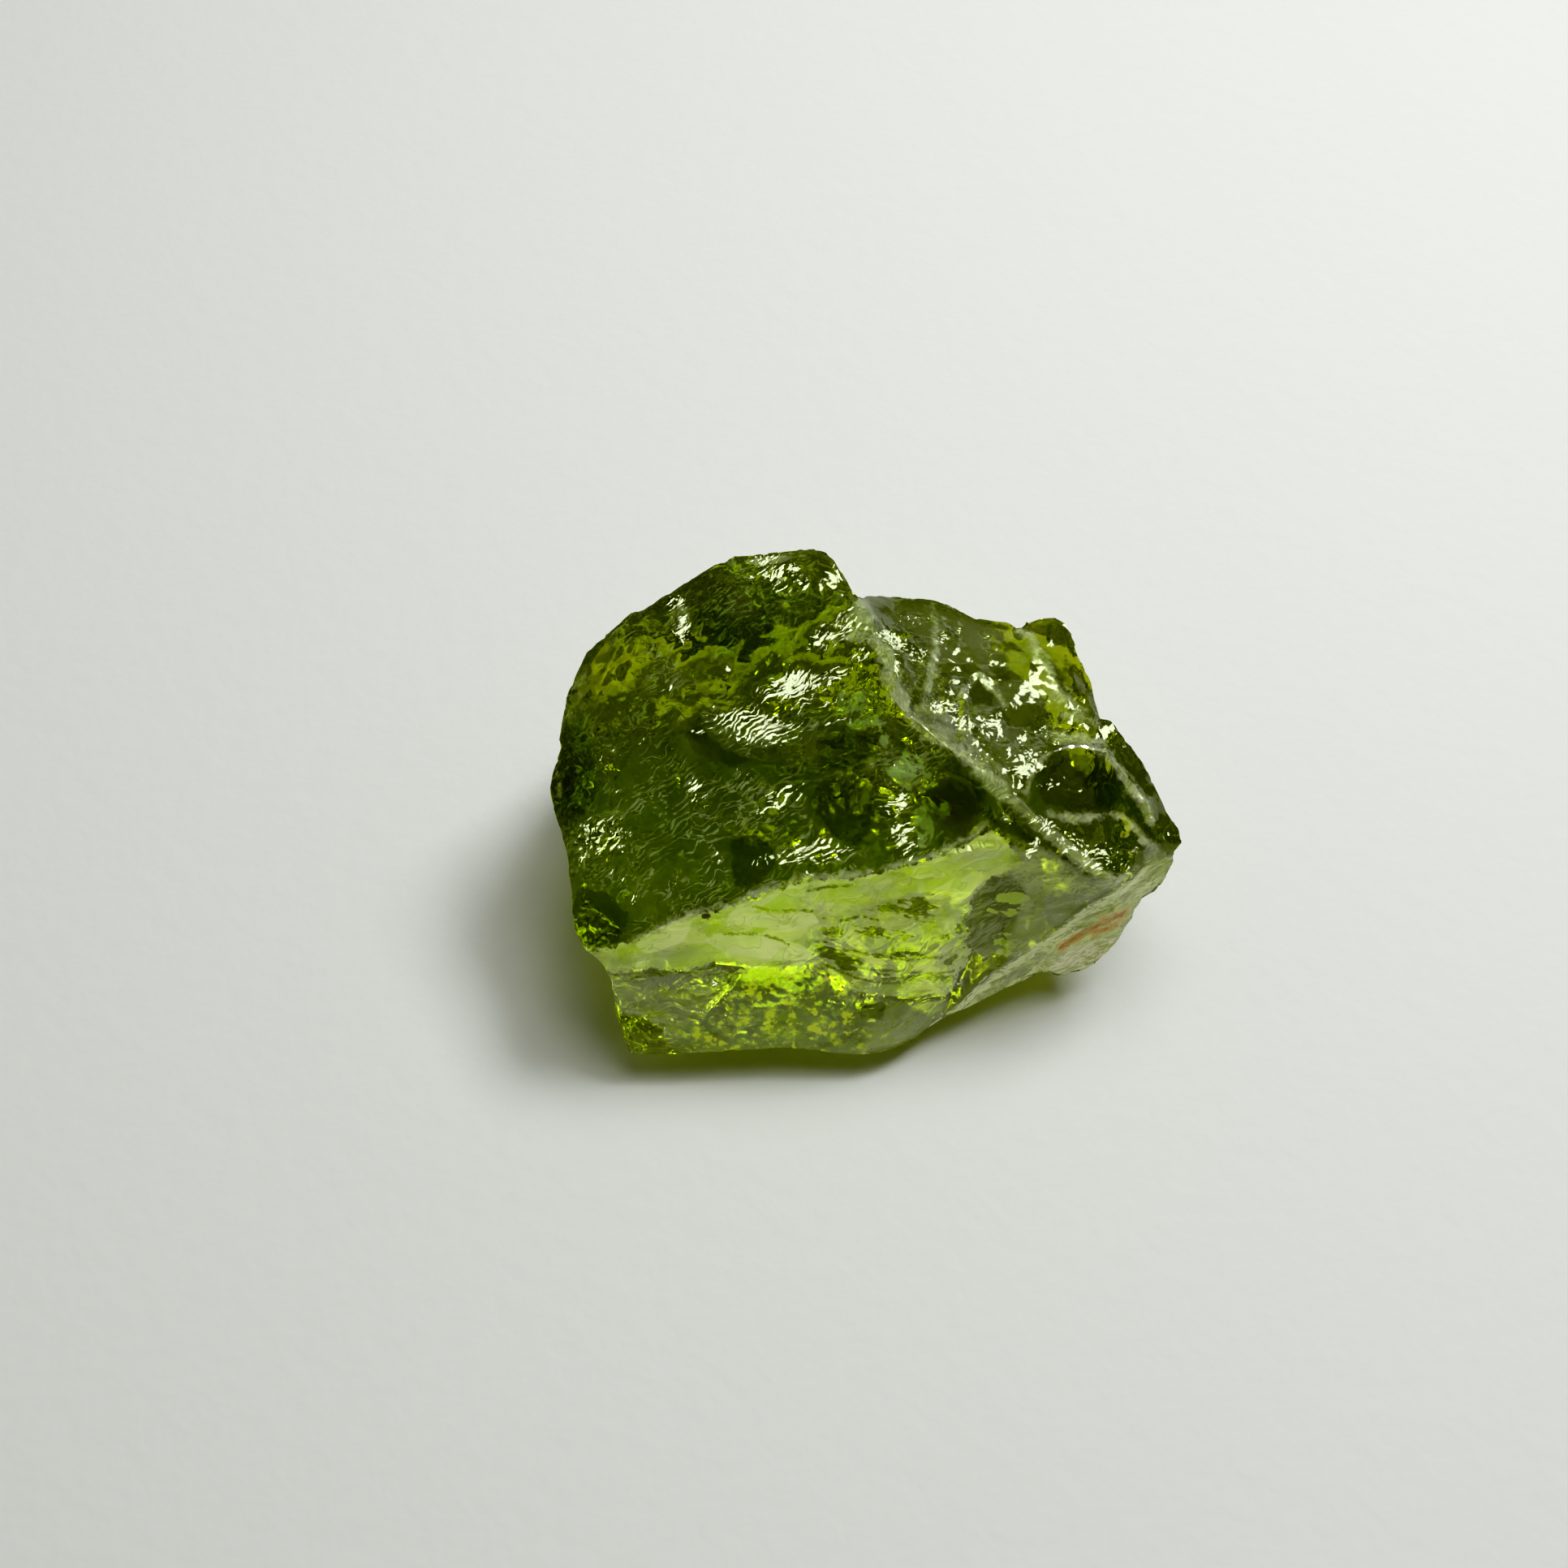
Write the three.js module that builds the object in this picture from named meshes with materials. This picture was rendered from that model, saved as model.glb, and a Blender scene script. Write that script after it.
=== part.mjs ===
// Rough peridot: one solid broken piece of the mineral, lying on its flattest break.
// Millimetres, +Z up, the resting break on z = 0, the long direction along X.
//
// The skin is made of two sheets that share one outline. The upper sheet carries the large
// conchoidal break, the crest, the brow and the pale front breaks; the lower sheet carries the
// back wall, the undercuts and the flat resting break. Both sheets are laid out in the same
// central projection, as height fields over one plane, so they meet only along the outline.
import * as THREE from 'three';

// ---------------------------------------------------------------- driving dimensions (mm)
const STONE_LENGTH = 15.9;       // greatest extent, along X
const UPPER_SPACING = 0.285;     // distance between neighbouring points of the upper sheet
const LOWER_SPACING = 0.345;     // the same for the lower sheet
const EDGE_SPACING = 0.27;       // distance between points along arrises and the outline
const EDGE_CHIP = 0.028;         // how far an arris wanders sideways, as small chips do
const EDGE_NICK = 0.020;         // how far an arris dips and rises
const SKIN_WAVE = 0.035;         // depth of the shallow waves of the broken skin
const RIPPLE_DEPTH = 0.030;      // depth of the ribs that curve round the large break
const RIPPLE_PITCH = 0.62;       // distance from rib to rib
const LEAST_THICKNESS = 0.12;    // the sheets stay at least this far apart inside the outline

// Centre of projection and the plane both sheets are drawn on.
const EYE = new THREE.Vector3(-2.01, -27.408, 52.72);
const PLANE_DISTANCE = 53.67;
const PLANE_TILT = THREE.MathUtils.degToRad(60);

// ---------------------------------------------------------------- control points [x, y, z]
// Outline, clockwise seen from above the front, from the topmost point.
const OUTLINE = [
  [-1.26, 5.04, 8.33], [-0.95, 4.91, 8.37], [-0.77, 4.68, 8.35], [-0.59, 4.39, 8.3], [-0.41, 4.07, 8.23],
  [-0.25, 3.81, 8.14], [-0.16, 3.89, 7.89], [0.12, 4.19, 7.49], [0.44, 4.37, 7.24], [1.08, 4.5, 6.98],
  [1.69, 4.58, 6.79], [2.09, 4.55, 6.66], [2.49, 4.39, 6.56], [2.9, 4.21, 6.46], [3.39, 4.21, 6.34],
  [3.77, 4.17, 6.32], [4.01, 3.89, 6.51], [4.18, 4.08, 6.5], [4.59, 4.21, 6.46], [4.96, 4.28, 6.39],
  [5.19, 4.1, 6.4], [5.35, 3.81, 6.34], [5.44, 3.5, 6.28], [5.49, 3.19, 6.22], [5.67, 2.94, 6.08],
  [5.82, 2.64, 5.9], [5.89, 2.26, 5.8], [5.98, 1.9, 5.71], [6.04, 1.69, 5.7], [6.26, 1.57, 5.74],
  [6.45, 1.37, 5.75], [6.51, 1.16, 5.74], [6.78, 0.88, 5.58], [7.07, 0.54, 5.38], [7.29, 0.13, 5.15],
  [7.54, -0.4, 4.96], [7.6, -0.62, 4.94], [7.79, -0.92, 4.89], [7.89, -1.07, 4.91], [7.96, -1.35, 4.87],
  [7.94, -1.47, 4.8], [7.77, -1.6, 4.61], [7.81, -1.67, 4.22], [7.74, -1.76, 3.82], [7.62, -1.86, 3.42],
  [7.45, -1.96, 3.13], [7.17, -2.03, 2.86], [7.02, -2.2, 2.53], [6.99, -2.31, 2.35], [6.82, -2.45, 2.15],
  [6.66, -2.67, 1.8], [6.42, -2.88, 1.56], [6.11, -3.09, 1.21], [5.7, -3.21, 1.02], [5.25, -3.28, 0.87],
  [4.9, -3.27, 0.99], [4.74, -3.29, 1.09], [4.25, -3.46, 1], [3.73, -3.68, 0.98], [3.24, -3.94, 0.95],
  [2.81, -4.17, 0.93], [2.49, -4.31, 0.9], [2.17, -4.44, 0.87], [1.86, -4.61, 0.79], [1.39, -4.96, 0.71],
  [1.11, -5.14, 0.72], [0.69, -5.33, 0.72], [0.16, -5.44, 0.78], [-0.47, -5.46, 0.82], [-1.3, -5.41, 0.97],
  [-2.13, -5.37, 1.04], [-2.86, -5.41, 1.02], [-3.9, -5.48, 0.98], [-4.94, -5.52, 0.96], [-5.67, -5.53, 0.95],
  [-5.98, -5.52, 0.96], [-6.06, -5.39, 1.15], [-6.14, -5.12, 1.65], [-6.29, -4.79, 2.07], [-6.33, -4.52, 2.46],
  [-6.37, -4.29, 2.94], [-6.54, -4.11, 3.27], [-6.72, -4.02, 3.56], [-6.94, -3.92, 3.73], [-7.11, -3.67, 3.76],
  [-7.24, -3.36, 3.82], [-7.31, -2.97, 3.93], [-7.34, -2.48, 4.1], [-7.41, -2.08, 4.21], [-7.44, -1.68, 4.33],
  [-7.51, -1.37, 4.39], [-7.66, -0.92, 4.54], [-7.82, -0.48, 4.68], [-7.91, -0.16, 4.75], [-7.95, 0.11, 4.9],
  [-7.89, 0.37, 5.05], [-7.77, 0.68, 5.23], [-7.68, 0.96, 5.39], [-7.71, 1.14, 5.5], [-7.68, 1.35, 5.62],
  [-7.6, 1.71, 5.83], [-7.54, 2.03, 6.01], [-7.38, 2.39, 6.22], [-7.19, 2.74, 6.42], [-7.01, 3.06, 6.61],
  [-6.76, 3.28, 6.73], [-6.43, 3.52, 6.87], [-6.14, 3.68, 7.08], [-5.89, 3.88, 7.19], [-5.58, 3.95, 7.23],
  [-5.35, 4.03, 7.34], [-5.1, 4.16, 7.47], [-4.8, 4.3, 7.55], [-4.53, 4.43, 7.69], [-4.28, 4.54, 7.81],
  [-4.01, 4.7, 7.9], [-3.75, 4.8, 8.01], [-3.5, 4.82, 8.08], [-3.26, 4.94, 8.16], [-2.85, 4.96, 8.17],
  [-2.44, 5, 8.19], [-2.03, 5.02, 8.26], [-1.58, 5.03, 8.32],
];

// Arrises of the upper sheet.
const UPPER_ARRISES = {
  crest_main: [
    [-0.16, 3.89, 7.89], [-0.07, 3.1, 8.25], [0.16, 2.37, 8.34], [0.34, 1.76, 8.28], [0.57, 1.21, 8.19],
    [0.68, 0.75, 8.04], [1.12, 0.41, 7.85], [1.57, 0.11, 7.65], [2.05, -0.25, 7.41], [2.6, -0.53, 7.19],
    [3.16, -0.83, 6.92], [3.65, -1.18, 6.58], [4.12, -1.43, 6.26], [4.58, -1.8, 5.82], [5.11, -2.17, 5.32],
    [5.66, -2.4, 4.95], [6.22, -2.44, 4.76], [6.7, -2.02, 4.88],
  ],
  brow: [
    [-6.94, -3.92, 3.73], [-6.46, -3.92, 3.9], [-5.84, -3.81, 4.14], [-5.33, -3.69, 4.39], [-4.83, -3.56, 4.58],
    [-4.32, -3.39, 4.78], [-3.82, -3.31, 4.89], [-3.46, -3.3, 4.92], [-3.12, -3.18, 5.02], [-2.73, -3.06, 5.13],
    [-2.33, -2.93, 5.23], [-1.83, -2.8, 5.33], [-1.33, -2.71, 5.42], [-0.84, -2.69, 5.46], [-0.34, -2.7, 5.48],
    [0.15, -2.67, 5.54], [0.65, -2.55, 5.66], [1.14, -2.47, 5.72], [1.63, -2.36, 5.82], [2.13, -2.21, 5.94],
    [2.52, -2.14, 6.03], [2.87, -1.99, 6.17], [3.04, -1.88, 6.29],
  ],
  brow_to_crest: [
    [3.04, -1.88, 6.29], [2.84, -1.54, 6.58], [2.6, -1.19, 6.83], [2.3, -0.81, 7.08], [2.05, -0.25, 7.41],
  ],
  shoulder: [
    [3.04, -1.88, 6.29], [3.53, -1.97, 5.92], [4.01, -2.09, 5.6], [4.57, -2.2, 5.3], [5.13, -2.28, 5.11],
    [5.66, -2.4, 4.95],
  ],
  front_step: [
    [-6.72, -4.02, 3.56], [-6.07, -4.13, 3.55], [-5.36, -4.17, 3.53], [-4.56, -4.23, 3.44], [-3.99, -4.2, 3.46],
    [-3.75, -4.13, 3.51], [-3.14, -4.13, 3.5], [-2.9, -4.23, 3.38], [-2.33, -4.17, 3.41], [-1.32, -4.14, 3.43],
    [-1.08, -4.16, 3.38], [-0.71, -4.29, 3.17], [-0.2, -4.41, 2.87], [0.53, -4.49, 2.54], [1.37, -4.45, 2.16],
    [2.01, -4.35, 1.75], [2.51, -4.24, 1.3],
  ],
  keel: [
    [1.86, -4.61, 0.79], [2.16, -4.39, 1.03], [2.51, -4.24, 1.3], [2.78, -4.01, 1.49], [3.07, -3.74, 1.81],
    [3.31, -3.55, 2.09], [3.67, -3.3, 2.42], [4.1, -2.99, 2.82], [4.65, -2.83, 3.2], [5.29, -2.75, 3.6],
    [5.71, -2.54, 3.95], [6.19, -2.42, 4.25], [6.61, -2.2, 4.61], [6.7, -2.02, 4.88], [6.73, -1.86, 5.09],
  ],
  tip_edge: [
    [6.73, -1.86, 5.09], [7.17, -1.66, 5.09], [7.58, -1.39, 5.07], [7.89, -1.07, 4.91],
  ],
  tip_under: [
    [6.61, -2.2, 4.61], [6.9, -2.11, 3.74], [7.17, -2.03, 2.86],
  ],
  back_rib: [
    [4.01, 3.89, 6.51], [4.22, 3.42, 6.58], [4.44, 2.89, 6.57], [4.66, 2.43, 6.53], [4.87, 1.99, 6.45],
    [5.04, 1.66, 6.37], [5.2, 1.42, 6.29], [5.64, 1.55, 6.08], [6.04, 1.69, 5.7],
  ],
  recess: [
    [4.78, 1.07, 6.15], [5.3, 0.98, 6.04], [5.84, 1.03, 5.84], [6.3, 0.97, 5.69], [6.51, 1.16, 5.74],
  ],
  lens_rim: [
    [3.65, -1.18, 6.58], [3.87, -0.73, 6.55], [4.16, -0.26, 6.54], [4.48, 0.15, 6.52], [4.96, 0.44, 6.42],
    [5.5, 0.55, 6.31], [5.92, 0.46, 6.15], [6.33, 0.16, 5.91], [6.74, -0.27, 5.67], [7.01, -0.66, 5.5],
    [7.16, -1.07, 5.32], [7.17, -1.66, 5.09],
  ],
  scoop_lip: [
    [-4.34, 0.69, 6.71], [-3.83, 0.52, 6.75], [-3.47, 0.34, 6.82], [-3.13, 0.09, 6.85], [-2.53, 0, 6.92],
    [-2.03, 0, 6.99], [-1.34, 0.06, 7.13], [-0.74, 0.21, 7.29], [-0.15, 0.35, 7.45], [0.34, 0.41, 7.55],
    [0.68, 0.75, 8.04],
  ],
  scoop_lip2: [
    [-2.43, 1.4, 7.24], [-1.83, 1.27, 7.37], [-1.33, 1.32, 7.59], [-0.74, 1.43, 7.86], [-0.15, 1.55, 8.04],
    [0.34, 1.76, 8.28],
  ],
  spur: [
    [-1.33, 2.26, 7.74], [-0.93, 2.4, 8.05], [-0.44, 2.57, 8.29], [0.16, 2.37, 8.34],
  ],
  fold_left: [
    [-5.11, 1.51, 7.03], [-4.34, 1.74, 7.23], [-3.64, 1.84, 7.29],
  ],
  rib_mid: [
    [-1.33, -1.06, 6.33], [-0.84, -0.77, 6.61], [-0.25, -0.52, 6.87], [0.34, -0.34, 7.07],
  ],
  rib_low: [
    [0.31, -1.47, 6.24], [0.74, -1.24, 6.53], [1.17, -1.06, 6.72], [1.62, -0.92, 6.87], [2.05, -0.66, 7.09],
  ],
  left_rib: [
    [-5.64, -1.91, 5.26], [-4.73, -1.66, 5.57], [-4.23, -1.44, 5.79], [-3.73, -1.22, 6.01], [-3.23, -0.99, 6.21],
    [-2.43, -0.7, 6.49],
  ],
  left_step: [
    [-6.68, -1.13, 5.23], [-6.26, -1.04, 5.48], [-5.85, -1.07, 5.61],
  ],
};

// Points the upper breaks pass through or close to, between the arrises.
const UPPER_POINTS = [
  [-6.19, 2.22, 6.93], [-4.76, 2.82, 7.48], [-3.34, 3.23, 7.95], [-2.13, 3.69, 8.18], [-1.22, 4.09, 8.3],
  [-0.72, 3.54, 8.21], [-6.6, 0.99, 6.22], [-6.17, -0.48, 5.72], [-6.78, -1.77, 4.92], [-6.15, -2.97, 4.6],
  [-4.32, -2.53, 5.27], [-4.73, -0.39, 6.37], [-5.56, 0.73, 6.44], [-3.24, 1.33, 6.74], [-2.23, 0.98, 6.85],
  [-1.33, 0.85, 7.06], [-2.13, 2.38, 7.35], [-1.22, 3.04, 7.89], [-0.54, 0.86, 7.39], [-0.14, -0.88, 6.41],
  [-0.93, -1.78, 5.78], [1.04, -1.69, 6.23], [2.22, -1.55, 6.39], [-1.83, -1.47, 6.05], [-2.83, -2.11, 5.35],
  [-1.13, -0.31, 6.62], [0.83, -0.32, 7.22], [-4.34, -3.85, 4.14], [-2.33, -3.51, 4.34], [-0.33, -3.52, 4.37],
  [1.09, -3.45, 4.23], [2.71, -2.86, 4.4], [3.94, -2.52, 4.4], [4.95, -2.44, 4.45], [1.73, -3.91, 3.33],
  [-5.41, -4.76, 2.26], [-3.36, -4.83, 2.17], [-1.31, -4.81, 2.12], [0.34, -4.89, 1.79], [3.55, -1.58, 5.91],
  [5.57, -2.97, 2.32], [4.35, -3.31, 1.83], [6.33, -2.54, 3.08], [7.35, -1.85, 4.29], [0.91, 3.16, 7.53],
  [1.73, 2.98, 7.25], [2.78, 3.02, 6.81], [1.68, 1.54, 7.23], [3.16, 1.92, 6.64], [2.67, 0.72, 7.04],
  [3.71, 0.75, 6.6], [3.45, -0.22, 6.67], [4.89, 3.48, 6.5], [5.37, 2.24, 6.13], [4.56, 1.31, 6.46],
  [5.35, -0.16, 5.76], [6.18, -0.8, 5.25], [4.92, -0.99, 5.6], [5.94, -1.7, 5.01], [6.86, 0.46, 5.51],
  [7.43, -0.87, 4.97],
];

// Resting break: the corners of the flat on z = 0.
const REST = [
  [-4.3, -3.9], [-1, -4.3], [1.6, -3.6], [3.2, -2], [3.9, 0.8], [3, 3.4], [0.6, 4.6], [-2.4, 4.7],
  [-5.3, 3.1], [-6.2, -0.2], [-5.6, -2.6],
];

// Arrises of the lower sheet: the belt round the back wall, and the ribs that run from it up to
// the outline and down to the resting flat. 'o' picks an outline point, 'b' a belt point,
// 'r' a corner of the resting flat, 'c' a corner under the front left.
const BELT = [
  [-6.5, -2.3, 0.9], [-7.1, 0.1, 0.9], [-6.9, 3.4, 0.7], [-4.8, 6, 0.8], [-1.8, 7.2, 0.7],
  [1.8, 6.6, 0.6], [4.8, 5.2, 0.9], [6, 2.4, 0.8], [5.6, -0.4, 0.9],
];
const LOW_CORNERS = [
  [-5.8, -4, 0.65],
];
const RIBS = [
  ["o80", "b0", "b1", "b2", "b3", "b4", "b5", "b6", "b7", "b8", "o52"],
  ["b0", "r10"],
  ["b1", "r9"],
  ["b2", "r8"],
  ["b3", "r7"],
  ["b4", "r7"],
  ["b5", "r6"],
  ["b6", "r5"],
  ["b7", "r4"],
  ["b8", "r3"],
  ["o92", "b1"],
  ["o104", "b2"],
  ["o113", [-5.1, 5.2, 3.6], "b3"],
  ["o0", [-1.7, 6.5, 4.2], "b4"],
  ["o8", [1.2, 5.9, 3.2], "b5"],
  ["o20", [4.9, 4.9, 3.4], "b6"],
  ["o30", [6.5, 2.3, 3.0], "b7"],
  ["o40", "b8"],
  ["c0", "b0"],
  ["c0", "o76"],
  ["c0", "r0"],
];

// Points the lower breaks pass through: shallow hollows and swells.
const LOWER_POINTS = [
  [-6.6, 2.4, 3.6], [-6.1, 3.9, 4.6], [-3.2, 6, 5.2], [-3.4, 6.7, 2.6], [0.2, 5.7, 4.6],
  [0, 6.9, 2], [3, 5.5, 3.8], [3.2, 6.1, 1.8], [5.9, 3.9, 3.4], [5.7, 4, 1.6],
  [6.9, 0.8, 2.9], [6.4, 0.8, 1.5], [6.4, -1.2, 2.2], [-6.9, -0.6, 2.8],
];

// ---------------------------------------------------------------- small helpers
function randomSource(seed) {
  let s = seed >>> 0;
  return () => {
    s = (s + 0x6d2b79f5) >>> 0;
    let t = s;
    t = Math.imul(t ^ (t >>> 15), t | 1);
    t ^= t + Math.imul(t ^ (t >>> 7), t | 61);
    return ((t ^ (t >>> 14)) >>> 0) / 4294967296;
  };
}

const FORWARD = new THREE.Vector3(0, Math.cos(PLANE_TILT), -Math.sin(PLANE_TILT));
const UP = new THREE.Vector3(0, Math.sin(PLANE_TILT), Math.cos(PLANE_TILT));

// space -> sheet: [a, b, w], w being the height of the point over the plane
function toSheet(p) {
  const q = new THREE.Vector3(p[0], p[1], p[2] || 0).sub(EYE);
  const d = q.dot(FORWARD);
  return [(q.x / d) * PLANE_DISTANCE, (q.dot(UP) / d) * PLANE_DISTANCE, PLANE_DISTANCE - d];
}
// sheet -> space
function toSpace(a, b, w) {
  const d = PLANE_DISTANCE - w;
  return new THREE.Vector3(a, 0, 0)
    .addScaledVector(UP, b)
    .divideScalar(PLANE_DISTANCE)
    .add(FORWARD)
    .multiplyScalar(d)
    .add(EYE);
}
// height over the plane at which the ray through (a, b) meets z = 0
function groundHeight(a, b) {
  const dir = FORWARD.clone().addScaledVector(UP, b / PLANE_DISTANCE);
  return PLANE_DISTANCE + EYE.z / dir.z;
}

function inside(poly, x, y) {
  let hit = false;
  for (let i = 0, j = poly.length - 1; i < poly.length; j = i++) {
    const [xi, yi] = poly[i];
    const [xj, yj] = poly[j];
    if (yi > y !== yj > y && x < ((xj - xi) * (y - yi)) / (yj - yi) + xi) hit = !hit;
  }
  return hit;
}

// smooth value noise in space, -1..1
function hash3(i, j, k, seed) {
  let h = Math.imul(i, 374761393) ^ Math.imul(j, 668265263) ^ Math.imul(k, 2147483647 - 58) ^ Math.imul(seed, 974634777);
  h = Math.imul(h ^ (h >>> 13), 1274126177);
  h ^= h >>> 16;
  return (h >>> 0) / 2147483648 - 1;
}
function noise3(x, y, z, seed) {
  const i = Math.floor(x), j = Math.floor(y), k = Math.floor(z);
  const s = (t) => t * t * (3 - 2 * t);
  const u = s(x - i), v = s(y - j), w = s(z - k);
  let sum = 0;
  for (let c = 0; c < 8; c++) {
    const di = c & 1, dj = (c >> 1) & 1, dk = c >> 2;
    sum += hash3(i + di, j + dj, k + dk, seed) * (di ? u : 1 - u) * (dj ? v : 1 - v) * (dk ? w : 1 - w);
  }
  return sum;
}

// ---------------------------------------------------------------- Delaunay triangulation
function triangulate(pts) {
  const n = pts.length;
  const P = pts.map((p) => [p[0], p[1]]);
  P.push([-400, -300], [400, -300], [0, 500]);
  let tris = [];
  const make = (a, b, c) => {
    const [ax, ay] = P[a], [bx, by] = P[b], [cx, cy] = P[c];
    const d = 2 * (ax * (by - cy) + bx * (cy - ay) + cx * (ay - by));
    const a2 = ax * ax + ay * ay, b2 = bx * bx + by * by, c2 = cx * cx + cy * cy;
    const ux = (a2 * (by - cy) + b2 * (cy - ay) + c2 * (ay - by)) / d;
    const uy = (a2 * (cx - bx) + b2 * (ax - cx) + c2 * (bx - ax)) / d;
    return [a, b, c, ux, uy, (ax - ux) ** 2 + (ay - uy) ** 2];
  };
  tris.push(make(n, n + 1, n + 2));
  const order = [...Array(n).keys()].sort((i, j) => P[i][0] - P[j][0] || P[i][1] - P[j][1]);
  const done = [];
  for (const i of order) {
    const [x, y] = P[i];
    const edges = new Map();
    const keep = [];
    for (const t of tris) {
      const dx = x - t[3];
      if (dx > 0 && dx * dx > t[5]) { done.push(t); continue; }
      const dy = y - t[4];
      if (dx * dx + dy * dy < t[5]) {
        for (const [p, q] of [[t[0], t[1]], [t[1], t[2]], [t[2], t[0]]]) {
          const back = q * 100000 + p;
          if (edges.has(back)) edges.delete(back);
          else edges.set(p * 100000 + q, [p, q]);
        }
      } else keep.push(t);
    }
    for (const [p, q] of edges.values()) keep.push(make(p, q, i));
    tris = keep;
  }
  return done.concat(tris)
    .filter((t) => t[0] < n && t[1] < n && t[2] < n)
    .map((t) => {
      const [a, b, c] = t;
      const area = (P[b][0] - P[a][0]) * (P[c][1] - P[a][1]) - (P[b][1] - P[a][1]) * (P[c][0] - P[a][0]);
      return area > 0 ? [a, b, c] : [a, c, b];
    });
}

// ---------------------------------------------------------------- arrises
// A straight-edged line through control points becomes a chain of short, slightly chipped steps.
// Corners that two lines share are drawn once.
class PointPool {
  constructor() { this.pts = []; this.kind = []; }
  find(a, b, reach) {
    let best = -1, bd = reach * reach;
    for (let i = 0; i < this.pts.length; i++) {
      const d = (this.pts[i][0] - a) ** 2 + (this.pts[i][1] - b) ** 2;
      if (d < bd) { bd = d; best = i; }
    }
    return best;
  }
  add(p, kind, reach = 0.1) {
    const i = this.find(p[0], p[1], reach);
    if (i >= 0) return i;
    this.pts.push(p.slice());
    this.kind.push(kind);
    return this.pts.length - 1;
  }
}

function chain(pool, controls, kind, rnd, segs, chip, nick) {
  let prev = -1;
  for (let k = 0; k < controls.length; k++) {
    const here = controls[k];
    if (k > 0) {
      const from = controls[k - 1];
      const len = Math.hypot(here[0] - from[0], here[1] - from[1]);
      const n = Math.max(1, Math.round(len / EDGE_SPACING));
      for (let m = 1; m < n; m++) {
        const t = m / n;
        const nx = -(here[1] - from[1]) / len, ny = (here[0] - from[0]) / len;
        const side = (rnd() - 0.5) * 2 * chip;
        const dip = (rnd() - 0.5) * 2 * nick;
        const id = pool.add([
          from[0] + (here[0] - from[0]) * t + nx * side,
          from[1] + (here[1] - from[1]) * t + ny * side,
          from[2] + (here[2] - from[2]) * t + dip,
        ], kind);
        if (prev >= 0 && id !== prev) segs.push([prev, id]);
        prev = id;
      }
    }
    const id = pool.add(here, kind, k === 0 || k === controls.length - 1 ? 0.2 : 0.1);
    if (prev >= 0 && id !== prev) segs.push([prev, id]);
    prev = id;
  }
}

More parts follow.
